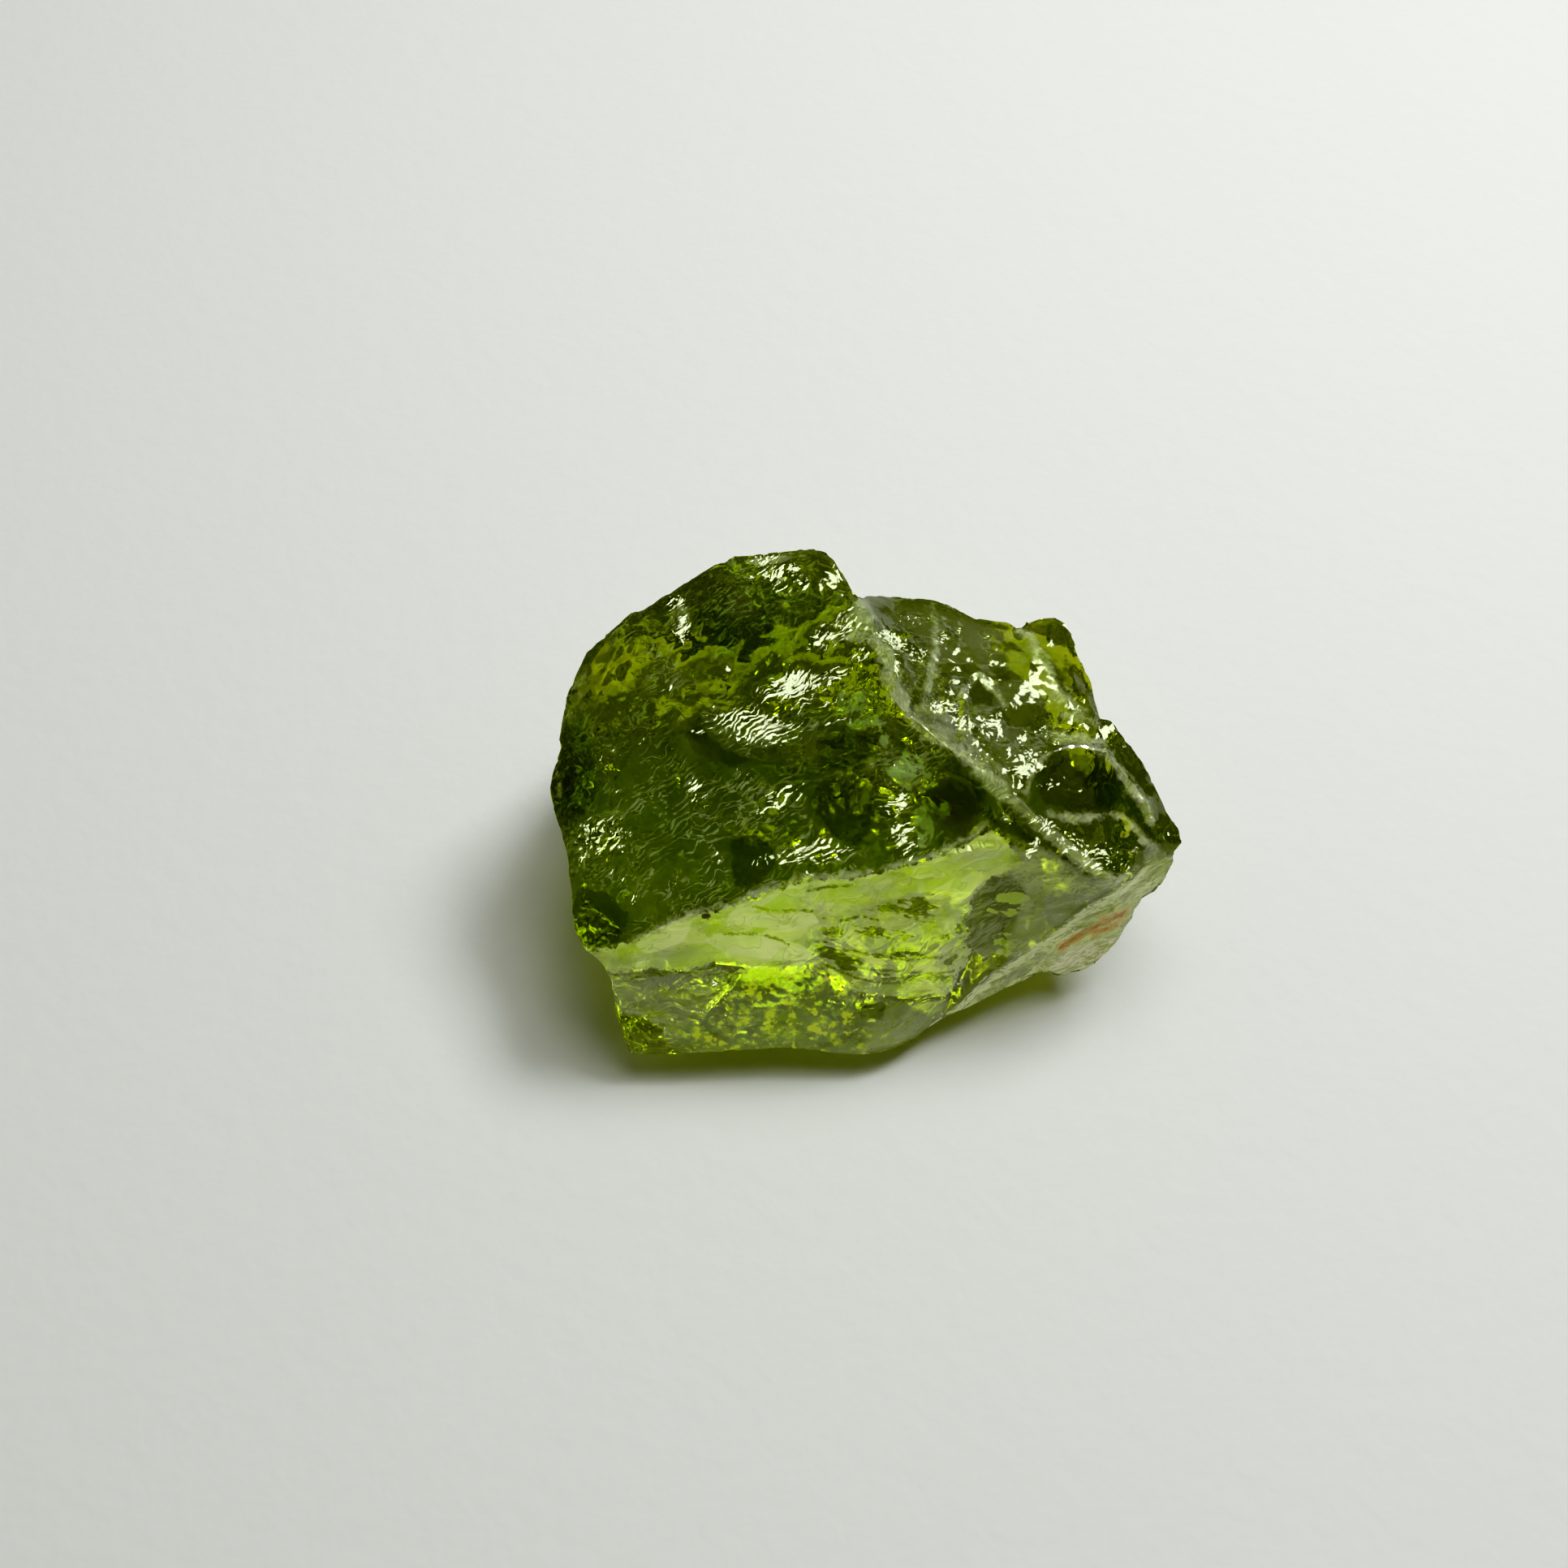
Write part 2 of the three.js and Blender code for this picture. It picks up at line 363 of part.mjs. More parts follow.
// ---------------------------------------------------------------- one sheet
// Fixed points: outline and arrises. Between them the sheet is the fairest surface (least
// squared Laplacian, free to fold only at the arrises) that passes close to the soft points.
function buildSheet({ outline, lines, soft, spacing, seed, flat, roughness = 1 }) {
  const rnd = randomSource(seed);
  const pool = new PointPool();
  const segs = [];
  for (const p of outline) { pool.pts.push(p.slice()); pool.kind.push(0); }
  const rimCount = outline.length;
  for (let i = 0; i < rimCount; i++) segs.push([i, (i + 1) % rimCount]);
  for (const line of lines) chain(pool, line, 1, rnd, segs, EDGE_CHIP * roughness, EDGE_NICK * roughness);
  const rimPoly = outline.map((p) => [p[0], p[1]]);
  const clear = (a, b, r) => {
    for (const q of pool.pts) if ((q[0] - a) ** 2 + (q[1] - b) ** 2 < r * r) return false;
    for (const [i, j] of segs) {
      const p = pool.pts[i], q = pool.pts[j];
      const mx = (p[0] + q[0]) / 2, my = (p[1] + q[1]) / 2;
      const rr = Math.hypot(p[0] - q[0], p[1] - q[1]) / 2 + 0.03;
      if ((a - mx) ** 2 + (b - my) ** 2 < rr * rr) return false;
    }
    return true;
  };
  const targets = new Map();
  for (const p of soft) {
    if (!inside(rimPoly, p[0], p[1])) continue;
    if (!clear(p[0], p[1], spacing * 0.5)) continue;
    targets.set(pool.pts.length, p[2]);
    pool.pts.push(p.slice());
    pool.kind.push(2);
  }
  let lo = [1e9, 1e9], hi = [-1e9, -1e9];
  for (const p of rimPoly) for (const c of [0, 1]) { lo[c] = Math.min(lo[c], p[c]); hi[c] = Math.max(hi[c], p[c]); }
  const fixedCount = pool.pts.length;
  const fixed = pool.pts.slice(0, fixedCount);
  const extra = [];
  let row = 0;
  for (let b = lo[1]; b <= hi[1]; b += spacing * 0.866, row++) {
    for (let a = lo[0] + (row % 2 ? spacing / 2 : 0); a <= hi[0]; a += spacing) {
      const x = a + (rnd() - 0.5) * spacing * 0.42, y = b + (rnd() - 0.5) * spacing * 0.42;
      if (!inside(rimPoly, x, y) || !clear(x, y, spacing * 0.6)) continue;
      extra.push([x, y, 0]);
    }
  }
  for (const p of extra) { pool.pts.push(p); pool.kind.push(3); }
  let pts = pool.pts, kind = pool.kind;
  let tris;
  const cut = () => {
    tris = triangulate(pts).filter(([i, j, k]) =>
      inside(rimPoly, (pts[i][0] + pts[j][0] + pts[k][0]) / 3, (pts[i][1] + pts[j][1] + pts[k][1]) / 3));
  };
  cut();
  // no triangle hangs on the outline alone: it gets a point of its own
  for (const t of tris.filter((q) => q.every((i) => i < rimCount))) {
    pts.push([0, 1, 2].map((c) => (pts[t[0]][c] + pts[t[1]][c] + pts[t[2]][c]) / 3));
    kind.push(3);
  }
  cut();
  const have = new Set();
  for (const [i, j, k] of tris) { have.add(i + '_' + j); have.add(j + '_' + k); have.add(k + '_' + i); }
  for (let i = 0; i < rimCount; i++) {
    const j = (i + 1) % rimCount;
    if (!have.has(i + '_' + j) && !have.has(j + '_' + i)) throw new Error('outline step ' + i + ' is missing from a sheet');
  }
  // flat resting break: exact heights
  const isFlat = pts.map((p) => (flat ? inside(flat, p[0], p[1]) || flat.some((q) => Math.hypot(q[0] - p[0], q[1] - p[1]) < 1e-6) : false));
  const onFlatEdge = (p) => {
    if (!flat) return false;
    for (let i = 0; i < flat.length; i++) {
      const q = flat[i], r = flat[(i + 1) % flat.length];
      const l = Math.hypot(r[0] - q[0], r[1] - q[1]);
      const t = ((p[0] - q[0]) * (r[0] - q[0]) + (p[1] - q[1]) * (r[1] - q[1])) / (l * l);
      if (t > -0.02 && t < 1.02 && Math.abs((p[0] - q[0]) * (r[1] - q[1]) - (p[1] - q[1]) * (r[0] - q[0])) / l < EDGE_CHIP * 1.05) return true;
    }
    return false;
  };
  const n = pts.length;
  const fix = new Uint8Array(n);
  const w = new Float64Array(n);
  for (let i = 0; i < n; i++) {
    if (kind[i] === 0 || kind[i] === 1) { fix[i] = 1; w[i] = pts[i][2]; }
    if (kind[i] > 0 && (isFlat[i] || onFlatEdge(pts[i]))) { fix[i] = 2; w[i] = groundHeight(pts[i][0], pts[i][1]); }
  }
  // cotangent Laplacian on the drawing plane
  const nb = Array.from({ length: n }, () => new Map());
  for (const [i, j, k] of tris) {
    for (const [p, q, r] of [[i, j, k], [j, k, i], [k, i, j]]) {
      const ux = pts[p][0] - pts[r][0], uy = pts[p][1] - pts[r][1];
      const vx = pts[q][0] - pts[r][0], vy = pts[q][1] - pts[r][1];
      const c = Math.max(-2, Math.min(6, (ux * vx + uy * vy) / Math.max(1e-9, Math.abs(ux * vy - uy * vx)))) / 2;
      nb[p].set(q, (nb[p].get(q) || 0) + c);
      nb[q].set(p, (nb[q].get(p) || 0) + c);
    }
  }
  const rows = nb.map((m) => { let s = 0; for (const v of m.values()) s += v; return { ids: [...m.keys()], v: [...m.values()], s }; });
  const L = (x) => {
    const y = new Float64Array(n);
    for (let i = 0; i < n; i++) {
      if (fix[i]) continue;
      const r = rows[i];
      let s = -r.s * x[i];
      for (let k = 0; k < r.ids.length; k++) s += r.v[k] * x[r.ids[k]];
      y[i] = s;
    }
    return y;
  };
  const LT = (y) => {
    const x = new Float64Array(n);
    for (let i = 0; i < n; i++) {
      if (fix[i]) continue;
      const r = rows[i];
      x[i] -= r.s * y[i];
      for (let k = 0; k < r.ids.length; k++) x[r.ids[k]] += r.v[k] * y[i];
    }
    for (let i = 0; i < n; i++) if (fix[i]) x[i] = 0;
    return x;
  };
  const PULL = 3, TENSION = 0.02;
  const A = (x) => {
    const Lx = L(x);
    const y = LT(Lx);
    for (let i = 0; i < n; i++) if (!fix[i]) y[i] -= TENSION * Lx[i];
    for (const i of targets.keys()) if (!fix[i]) y[i] += PULL * x[i];
    return y;
  };
  const base = new Float64Array(n);
  for (let i = 0; i < n; i++) if (fix[i]) base[i] = w[i];
  const rhs = A(base);
  const b = new Float64Array(n);
  for (let i = 0; i < n; i++) if (!fix[i]) b[i] = -rhs[i];
  for (const [i, t] of targets) if (!fix[i]) b[i] += PULL * t;
  const diag = rows.map((r, i) => { let s = r.s * r.s + TENSION * r.s; for (let k = 0; k < r.ids.length; k++) s += r.v[k] * r.v[k]; return s + (targets.has(i) ? PULL : 0); });
  const x = new Float64Array(n);
  let r = b.slice(), z = r.map((v, i) => v / diag[i]), p = z.slice();
  let rz = 0; for (let i = 0; i < n; i++) rz += r[i] * z[i];
  const rz0 = rz;
  for (let it = 0; it < 6000 && rz > 1e-14 * rz0; it++) {
    for (let i = 0; i < n; i++) if (fix[i]) p[i] = 0;
    const Ap = A(p);
    let pAp = 0; for (let i = 0; i < n; i++) pAp += p[i] * Ap[i];
    const al = rz / pAp;
    for (let i = 0; i < n; i++) { x[i] += al * p[i]; r[i] -= al * Ap[i]; if (fix[i]) r[i] = 0; z[i] = r[i] / diag[i]; }
    let rn = 0; for (let i = 0; i < n; i++) rn += r[i] * z[i];
    const be = rn / rz; rz = rn;
    for (let i = 0; i < n; i++) p[i] = z[i] + be * p[i];
  }
  for (let i = 0; i < n; i++) if (!fix[i]) w[i] = x[i];
  return { pts, tris, w, fix, rimCount };
}

function sheetHeight(sheet, a, b) {
  for (const [i, j, k] of sheet.tris) {
    const A = sheet.pts[i], B = sheet.pts[j], C = sheet.pts[k];
    const d = (B[0] - A[0]) * (C[1] - A[1]) - (B[1] - A[1]) * (C[0] - A[0]);
    const u = ((B[0] - a) * (C[1] - b) - (B[1] - b) * (C[0] - a)) / d;
    const v = ((C[0] - a) * (A[1] - b) - (C[1] - b) * (A[0] - a)) / d;
    if (u < -1e-6 || v < -1e-6 || u + v > 1 + 1e-6) continue;
    return u * sheet.w[i] + v * sheet.w[j] + (1 - u - v) * sheet.w[k];
  }
  return null;
}

// ---------------------------------------------------------------- the stone
function peridot() {
  const rnd = randomSource(20417);
  const raw = OUTLINE.map(toSheet);
  const outline = [];
  raw.forEach((p, i) => {
    const q = raw[(i + 1) % raw.length];
    const len = Math.hypot(q[0] - p[0], q[1] - p[1]);
    const n = Math.max(1, Math.round(len / EDGE_SPACING));
    for (let m = 0; m < n; m++) {
      const t = m / n;
      const side = m ? (rnd() - 0.5) * 0.6 * EDGE_CHIP : 0;
      outline.push([
        p[0] + (q[0] - p[0]) * t - ((q[1] - p[1]) / len) * side,
        p[1] + (q[1] - p[1]) * t + ((q[0] - p[0]) / len) * side,
        p[2] + (q[2] - p[2]) * t,
      ]);
    }
  });
  const upper = buildSheet({
    outline,
    lines: Object.values(UPPER_ARRISES).map((l) => l.map(toSheet)),
    soft: UPPER_POINTS.map(toSheet),
    spacing: UPPER_SPACING,
    seed: 7,
  });
  const rest = REST.map((p) => toSheet([p[0], p[1], 0]));
  const pick = (s) => ({ o: raw, b: BELT.map(toSheet), r: rest, c: LOW_CORNERS.map(toSheet) })[s[0]][+s.slice(1)];
  const lower = buildSheet({
    outline,
    lines: [[...rest, rest[0]], ...RIBS.map((l) => l.map((s) => (typeof s === 'string' ? pick(s) : toSheet(s))))],
    soft: LOWER_POINTS.map(toSheet),
    spacing: LOWER_SPACING,
    seed: 11,
    flat: rest,
    roughness: 0.3,
  });
  // the sheets keep their distance inside the outline
  const rimGap = (p) => { let d = 1e9; for (const q of outline) d = Math.min(d, Math.hypot(q[0] - p[0], q[1] - p[1])); return d; };
  for (const [one, other, sign] of [[upper, lower, 1], [lower, upper, -1]]) {
    for (let i = one.rimCount; i < one.pts.length; i++) {
      if (one.fix[i] === 2) continue;
      const h = sheetHeight(other, one.pts[i][0], one.pts[i][1]);
      if (h === null) continue;
      const least = Math.min(LEAST_THICKNESS, rimGap(one.pts[i]) * 0.6);
      const gap = (one.w[i] - h) * sign;
      if (gap < least) one.w[i] += sign * (least - gap);
    }
  }
  // join the two sheets along the outline
  const verts = [];
  const tris = [];
  const still = [];
  for (let i = 0; i < outline.length; i++) { verts.push(toSpace(outline[i][0], outline[i][1], outline[i][2])); still.push(1); }
  const place = (sheet, flip) => {
    const id = sheet.pts.map((p, i) => {
      if (i < sheet.rimCount) return i;
      const v = toSpace(p[0], p[1], sheet.w[i]);
      if (sheet.fix[i] === 2) v.z = 0;
      verts.push(v);
      still.push(sheet.fix[i] === 2 ? 2 : 0);
      return verts.length - 1;
    });
    for (const [i, j, k] of sheet.tris) tris.push(flip ? [id[i], id[k], id[j]] : [id[i], id[j], id[k]]);
  };
  place(upper, false);
  place(lower, true);
  // shallow waves of the broken skin, along the local normal
  const normals = verts.map(() => new THREE.Vector3());
  for (const [i, j, k] of tris) {
    const n = verts[j].clone().sub(verts[i]).cross(verts[k].clone().sub(verts[i]));
    normals[i].add(n); normals[j].add(n); normals[k].add(n);
  }
  const upperEnd = outline.length + (upper.pts.length - upper.rimCount);
  verts.forEach((v, i) => {
    if (still[i]) return;
    const n = normals[i].normalize();
    let d = SKIN_WAVE * (0.6 * noise3(v.x * 0.9, v.y * 0.9, v.z * 0.9, 3) + 0.4 * noise3(v.x * 2.1, v.y * 2.1, v.z * 2.1, 5));
    if (i < upperEnd) {
      // ribs that curve round the point where the large break began
      const r = Math.hypot(v.x - RIPPLE_ORIGIN[0], v.y - RIPPLE_ORIGIN[1], v.z - RIPPLE_ORIGIN[2]);
      const fade = Math.exp(-(((v.x + 2.2) / 3.2) ** 2) - (((v.y - 0.6) / 2.4) ** 2));
      d += RIPPLE_DEPTH * fade * Math.sin((2 * Math.PI * r) / RIPPLE_PITCH);
    }
    v.addScaledVector(n, d);
    if (v.z < 0.02) v.z = 0.02;
  });
  // to size, centred over the origin
  const box = new THREE.Box3().setFromPoints(verts);
  const scale = STONE_LENGTH / (box.max.x - box.min.x);
  const cx = (box.min.x + box.max.x) / 2, cy = (box.min.y + box.max.y) / 2;
  const position = new Float32Array(verts.length * 3);
  verts.forEach((v, i) => {
    position[3 * i] = (v.x - cx) * scale;
    position[3 * i + 1] = (v.y - cy) * scale;
    position[3 * i + 2] = v.z * scale;
  });
  const geometry = new THREE.BufferGeometry();
  geometry.setAttribute('position', new THREE.BufferAttribute(position, 3));
  geometry.setIndex(tris.flat());
  geometry.computeVertexNormals();
  return geometry;
}
const RIPPLE_ORIGIN = [-0.6, 6.5, 3.0];

const group = new THREE.Group();
group.name = 'peridot_gemstone';
const stone = new THREE.Mesh(
  peridot(),
  new THREE.MeshStandardMaterial({ color: 0x7f9a24, roughness: 0.22, metalness: 0 })
);
stone.name = 'peridot_stone';
group.add(stone);

export default group;
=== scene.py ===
import math

import bpy
import numpy as np
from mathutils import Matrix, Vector


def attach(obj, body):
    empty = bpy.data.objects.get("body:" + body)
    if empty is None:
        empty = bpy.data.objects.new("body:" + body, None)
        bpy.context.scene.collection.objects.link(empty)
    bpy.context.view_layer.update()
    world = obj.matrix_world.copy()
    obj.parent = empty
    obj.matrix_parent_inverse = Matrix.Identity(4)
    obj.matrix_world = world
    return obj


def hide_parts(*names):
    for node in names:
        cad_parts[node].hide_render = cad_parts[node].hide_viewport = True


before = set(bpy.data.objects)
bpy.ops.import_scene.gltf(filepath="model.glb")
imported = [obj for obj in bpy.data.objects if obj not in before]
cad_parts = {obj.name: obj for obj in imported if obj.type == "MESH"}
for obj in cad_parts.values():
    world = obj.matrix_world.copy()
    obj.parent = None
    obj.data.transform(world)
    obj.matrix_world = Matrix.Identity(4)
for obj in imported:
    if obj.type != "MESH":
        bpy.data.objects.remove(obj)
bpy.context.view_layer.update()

# ------------------------------------------------------------------ set-up
# Working lengths are millimetres; MM turns them into the frame's metres.
MM = 0.001
EYE = np.array([-2.014, -28.228, 52.687])        # the camera, looking along +Y and down
TILT = math.radians(60.0)
LENS, SENSOR = 50.0, 36.0
FRAME_PX = 1932.0
FOCAL = FRAME_PX * LENS / SENSOR
FWD = np.array([0.0, math.cos(TILT), -math.sin(TILT)])
RIGHT = np.array([1.0, 0.0, 0.0])
UPV = np.array([0.0, math.sin(TILT), math.cos(TILT)])

PARTS = 5            # each triangle of the frame's solid becomes PARTS x PARTS
SHARP = math.radians(26.0)


def to_picture(p):
    """Where points lie in the reference view: x right, y down, over a square of 1932."""
    q = p - EYE
    d = q @ FWD
    return FRAME_PX / 2 + FOCAL * (q @ RIGHT) / d, FRAME_PX / 2 - FOCAL * (q @ UPV) / d


# ------------------------------------------------------------------ noise
def _table(seed):
    r = np.random.RandomState(seed)
    g = r.normal(size=(4096, 3))
    g /= np.linalg.norm(g, axis=1)[:, None]
    return g


def _hash(i, j, k):
    h = (i * 73856093) ^ (j * 19349663) ^ (k * 83492791)
    return (h ^ (h >> 13)) & 4095


def gnoise(p, scale, seed):
    """Gradient noise of points p (n, 3), about -1..1, with features 1/scale long."""
    g = _table(seed)
    q = p * scale
    f = np.floor(q).astype(np.int64)
    t = q - f
    s = t * t * t * (t * (t * 6 - 15) + 10)
    out = np.zeros(len(p))
    for c in range(8):
        o = np.array([c & 1, (c >> 1) & 1, c >> 2])
        w = np.prod(np.where(o, s, 1 - s), axis=1)
        gg = g[_hash(f[:, 0] + o[0], f[:, 1] + o[1], f[:, 2] + o[2])]
        out += w * ((t - o) * gg).sum(axis=1)
    return out * 1.6


def fractal(p, scale, seed, octaves=4, gain=0.5):
    total, amp, norm = np.zeros(len(p)), 1.0, 0.0
    for o in range(octaves):
        total += amp * gnoise(p, scale * 2 ** o, seed + 17 * o)
        norm += amp
        amp *= gain
    return total / norm


def smooth(a, b, x):
    t = np.clip((x - a) / (b - a), 0, 1)
    return t * t * (3 - 2 * t)


def facets(p, scale, seed, tilt=1.0):
    """A field of small flat breaks: cells of random tilt that meet in ridges and steps."""
    r = np.random.RandomState(seed)
    offs = r.rand(4096, 3)
    tilts = r.normal(size=(4096, 3)) * tilt
    lift = r.rand(4096)
    q = p * scale
    f = np.floor(q).astype(np.int64)
    best = np.full(len(p), 1e9)
    second = np.full(len(p), 1e9)
    val = np.zeros(len(p))
    for di in (-1, 0, 1):
        for dj in (-1, 0, 1):
            for dk in (-1, 0, 1):
                c = f + np.array([di, dj, dk])
                h = _hash(c[:, 0], c[:, 1], c[:, 2])
                d = q - (c + offs[h])
                dist = (d * d).sum(axis=1)
                v = (d * tilts[h]).sum(axis=1) + lift[h]
                near = dist < best
                second = np.where(near, best, np.minimum(second, dist))
                val = np.where(near, v, val)
                best = np.where(near, dist, best)
    edge = np.sqrt(second) - np.sqrt(best)
    return val, edge


def scallops(p, scale, seed, curve=0.36, tilt=0.25, stretch=None):
    """Shallow bowls that meet in sharp ridges, as where many small conchoidal chips have left. In mm."""
    r = np.random.RandomState(seed)
    offs = r.rand(4096, 3)
    tilts = r.normal(size=(4096, 3)) * tilt
    lift = r.rand(4096) * 0.18
    q = p * scale
    if stretch is not None:
        d = np.array(stretch[:3], dtype=float)
        d /= np.linalg.norm(d)
        q = q - np.outer(q @ d, d) * (1 - 1 / stretch[3])
    f = np.floor(q).astype(np.int64)
    best = np.full(len(p), 1e9)
    for di in (-1, 0, 1):
        for dj in (-1, 0, 1):
            for dk in (-1, 0, 1):
                c = f + np.array([di, dj, dk])
                h = _hash(c[:, 0], c[:, 1], c[:, 2])
                d = q - (c + offs[h])
                v = curve * (d * d).sum(axis=1) + (d * tilts[h]).sum(axis=1) + lift[h]
                best = np.minimum(best, v)
    return best / scale


# ------------------------------------------------------------------ the frame's solid, refined
def read_solid(node):
    me = node.data
    me.calc_loop_triangles()
    v = np.empty(len(me.vertices) * 3)
    me.vertices.foreach_get("co", v)
    v = v.reshape(-1, 3) / MM
    t = np.empty(len(me.loop_triangles) * 3, dtype=np.int64)
    me.loop_triangles.foreach_get("vertices", t)
    t = t.reshape(-1, 3)
    key, inverse = np.unique(np.round(v, 3), axis=0, return_inverse=True)
    t = inverse.reshape(-1)[t]
    keep = (t[:, 0] != t[:, 1]) & (t[:, 1] != t[:, 2]) & (t[:, 2] != t[:, 0])
    return key, t[keep]


def refine(v, t, parts):
    """Curved-triangle subdivision. Corners share one normal across soft edges; sharp edges stay straight."""
    n, m = len(v), len(t)
    fn = np.cross(v[t[:, 1]] - v[t[:, 0]], v[t[:, 2]] - v[t[:, 0]])
    area = np.linalg.norm(fn, axis=1)
    fn = fn / area[:, None]
    e = np.concatenate([t[:, [0, 1]], t[:, [1, 2]], t[:, [2, 0]]])
    lo, hi = e.min(axis=1), e.max(axis=1)
    code = lo * n + hi
    edges, eid = np.unique(code, return_inverse=True)
    eid = eid.reshape(3, m).T
    owners = [[] for _ in range(len(edges))]
    for f in range(m):
        for s in range(3):
            owners[eid[f, s]].append((f, s))
    cosang = np.cos(SHARP)
    sharp = np.zeros(len(edges), dtype=bool)
    parent = np.arange(m * 3)

    def find(x):
        while parent[x] != x:
            parent[x] = parent[parent[x]]
            x = parent[x]
        return x

    for k, own in enumerate(owners):
        if len(own) != 2:
            sharp[k] = True
            continue
        (f, s), (g, r) = own
        if fn[f] @ fn[g] < cosang:
            sharp[k] = True
            continue
        for c in (s, (s + 1) % 3):
            vid = t[f, c]
            for d in (r, (r + 1) % 3):
                if t[g, d] == vid:
                    a, b = find(f * 3 + c), find(g * 3 + d)
                    if a != b:
                        parent[a] = b
    root = np.array([find(x) for x in range(m * 3)])
    ang = np.empty((m, 3))
    for c in range(3):
        a = v[t[:, (c + 1) % 3]] - v[t[:, c]]
        b = v[t[:, (c + 2) % 3]] - v[t[:, c]]
        ang[:, c] = np.arccos(np.clip((a * b).sum(1) / np.linalg.norm(a, axis=1) / np.linalg.norm(b, axis=1), -1, 1))
    acc = np.zeros((m * 3, 3))
    np.add.at(acc, root, (fn[:, None, :] * ang[:, :, None]).reshape(-1, 3))
    cn = acc[root]
    cn = (cn / np.linalg.norm(cn, axis=1)[:, None]).reshape(m, 3, 3)

    P = v[t]
    ctrl = {}
    for s in range(3):
        a, b = s, (s + 1) % 3
        d = P[:, b] - P[:, a]
        soft = ~sharp[eid[:, s]]
        wa = ((d * cn[:, a]).sum(1) * soft)[:, None] * cn[:, a]
        wb = ((-d * cn[:, b]).sum(1) * soft)[:, None] * cn[:, b]
        ctrl[(a, b)] = (2 * P[:, a] + P[:, b] - wa) / 3
        ctrl[(b, a)] = (2 * P[:, b] + P[:, a] - wb) / 3
    E = sum(ctrl.values()) / 6
    V = P.sum(axis=1) / 3
    mid = E + (E - V) / 2

    ne, k = len(edges), parts
    inner = (k - 1) * (k - 2) // 2
    verts = np.zeros((n + ne * (k - 1) + m * inner, 3))
    index = {}
    q = 0
    for i in range(k + 1):
        for j in range(k + 1 - i):
            l = k - i - j          # weights i, j, l of corners 0, 1, 2
            w = np.array([i, j, l]) / k
            x, y, z = w
            pos = (
                P[:, 0] * x ** 3 + P[:, 1] * y ** 3 + P[:, 2] * z ** 3
                + 3 * x * x * y * ctrl[(0, 1)] + 3 * x * y * y * ctrl[(1, 0)]
                + 3 * y * y * z * ctrl[(1, 2)] + 3 * y * z * z * ctrl[(2, 1)]
                + 3 * z * z * x * ctrl[(2, 0)] + 3 * z * x * x * ctrl[(0, 2)]
                + 6 * x * y * z * mid
            )
            zero = [c for c in range(3) if w[c] == 0]
            if len(zero) == 2:
                ids = t[:, [c for c in range(3) if w[c] > 0][0]]
            elif len(zero) == 1:
                a, b = {2: (0, 1), 0: (1, 2), 1: (2, 0)}[zero[0]]
                s = {2: 0, 0: 1, 1: 2}[zero[0]]
                steps = np.where(t[:, a] < t[:, b], round(w[b] * k), round(w[a] * k))
                ids = n + eid[:, s] * (k - 1) + steps - 1
            else:
                ids = n + ne * (k - 1) + np.arange(m) * inner + q
                q += 1
            verts[ids] = pos
            index[(i, j)] = ids
    tris = []
    for i in range(k):
        for j in range(k - i):
            tris.append(np.stack([index[(i, j)], index[(i + 1, j)], index[(i, j + 1)]], axis=1))
            if i + j < k - 1:
                tris.append(np.stack([index[(i + 1, j)], index[(i + 1, j + 1)], index[(i, j + 1)]], axis=1))
    tris = np.concatenate(tris)
    # keep the winding of the source
    a = np.cross(verts[tris[:, 1]] - verts[tris[:, 0]], verts[tris[:, 2]] - verts[tris[:, 0]])
    src = np.tile(np.arange(m), len(tris) // m)
    if (a * fn[src]).sum() < 0:
        tris = tris[:, ::-1]
    onedge = np.zeros(len(verts))
    # vertices that lie on a sharp edge of the source
    for kk in range(k - 1):
        onedge[n + np.nonzero(sharp)[0] * (k - 1) + kk] = 1
    ends = np.concatenate([edges[sharp] // n, edges[sharp] % n])
    onedge[ends] = 1
    return verts, tris, onedge


def vertex_normals(v, t):
    fn = np.cross(v[t[:, 1]] - v[t[:, 0]], v[t[:, 2]] - v[t[:, 0]])
    out = np.zeros_like(v)
    for c in range(3):
        np.add.at(out, t[:, c], fn)
    return out / np.maximum(np.linalg.norm(out, axis=1), 1e-12)[:, None]


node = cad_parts["peridot_stone"]
V0, T0 = read_solid(node)
V, T, ARRIS = refine(V0, T0, PARTS)
REST = V[:, 2] < 1e-3
N = vertex_normals(V, T)
PX, PY = to_picture(V)
TOWARD = EYE - V
TOWARD /= np.linalg.norm(TOWARD, axis=1)[:, None]
FACING = (N * TOWARD).sum(axis=1)
FRONT = smooth(-0.05, 0.12, FACING)
NEAR = smooth(0.5, -1.5, V[:, 1])
AROUND = FRONT * (1 - NEAR) + smooth(-0.42, -0.20, FACING) * NEAR


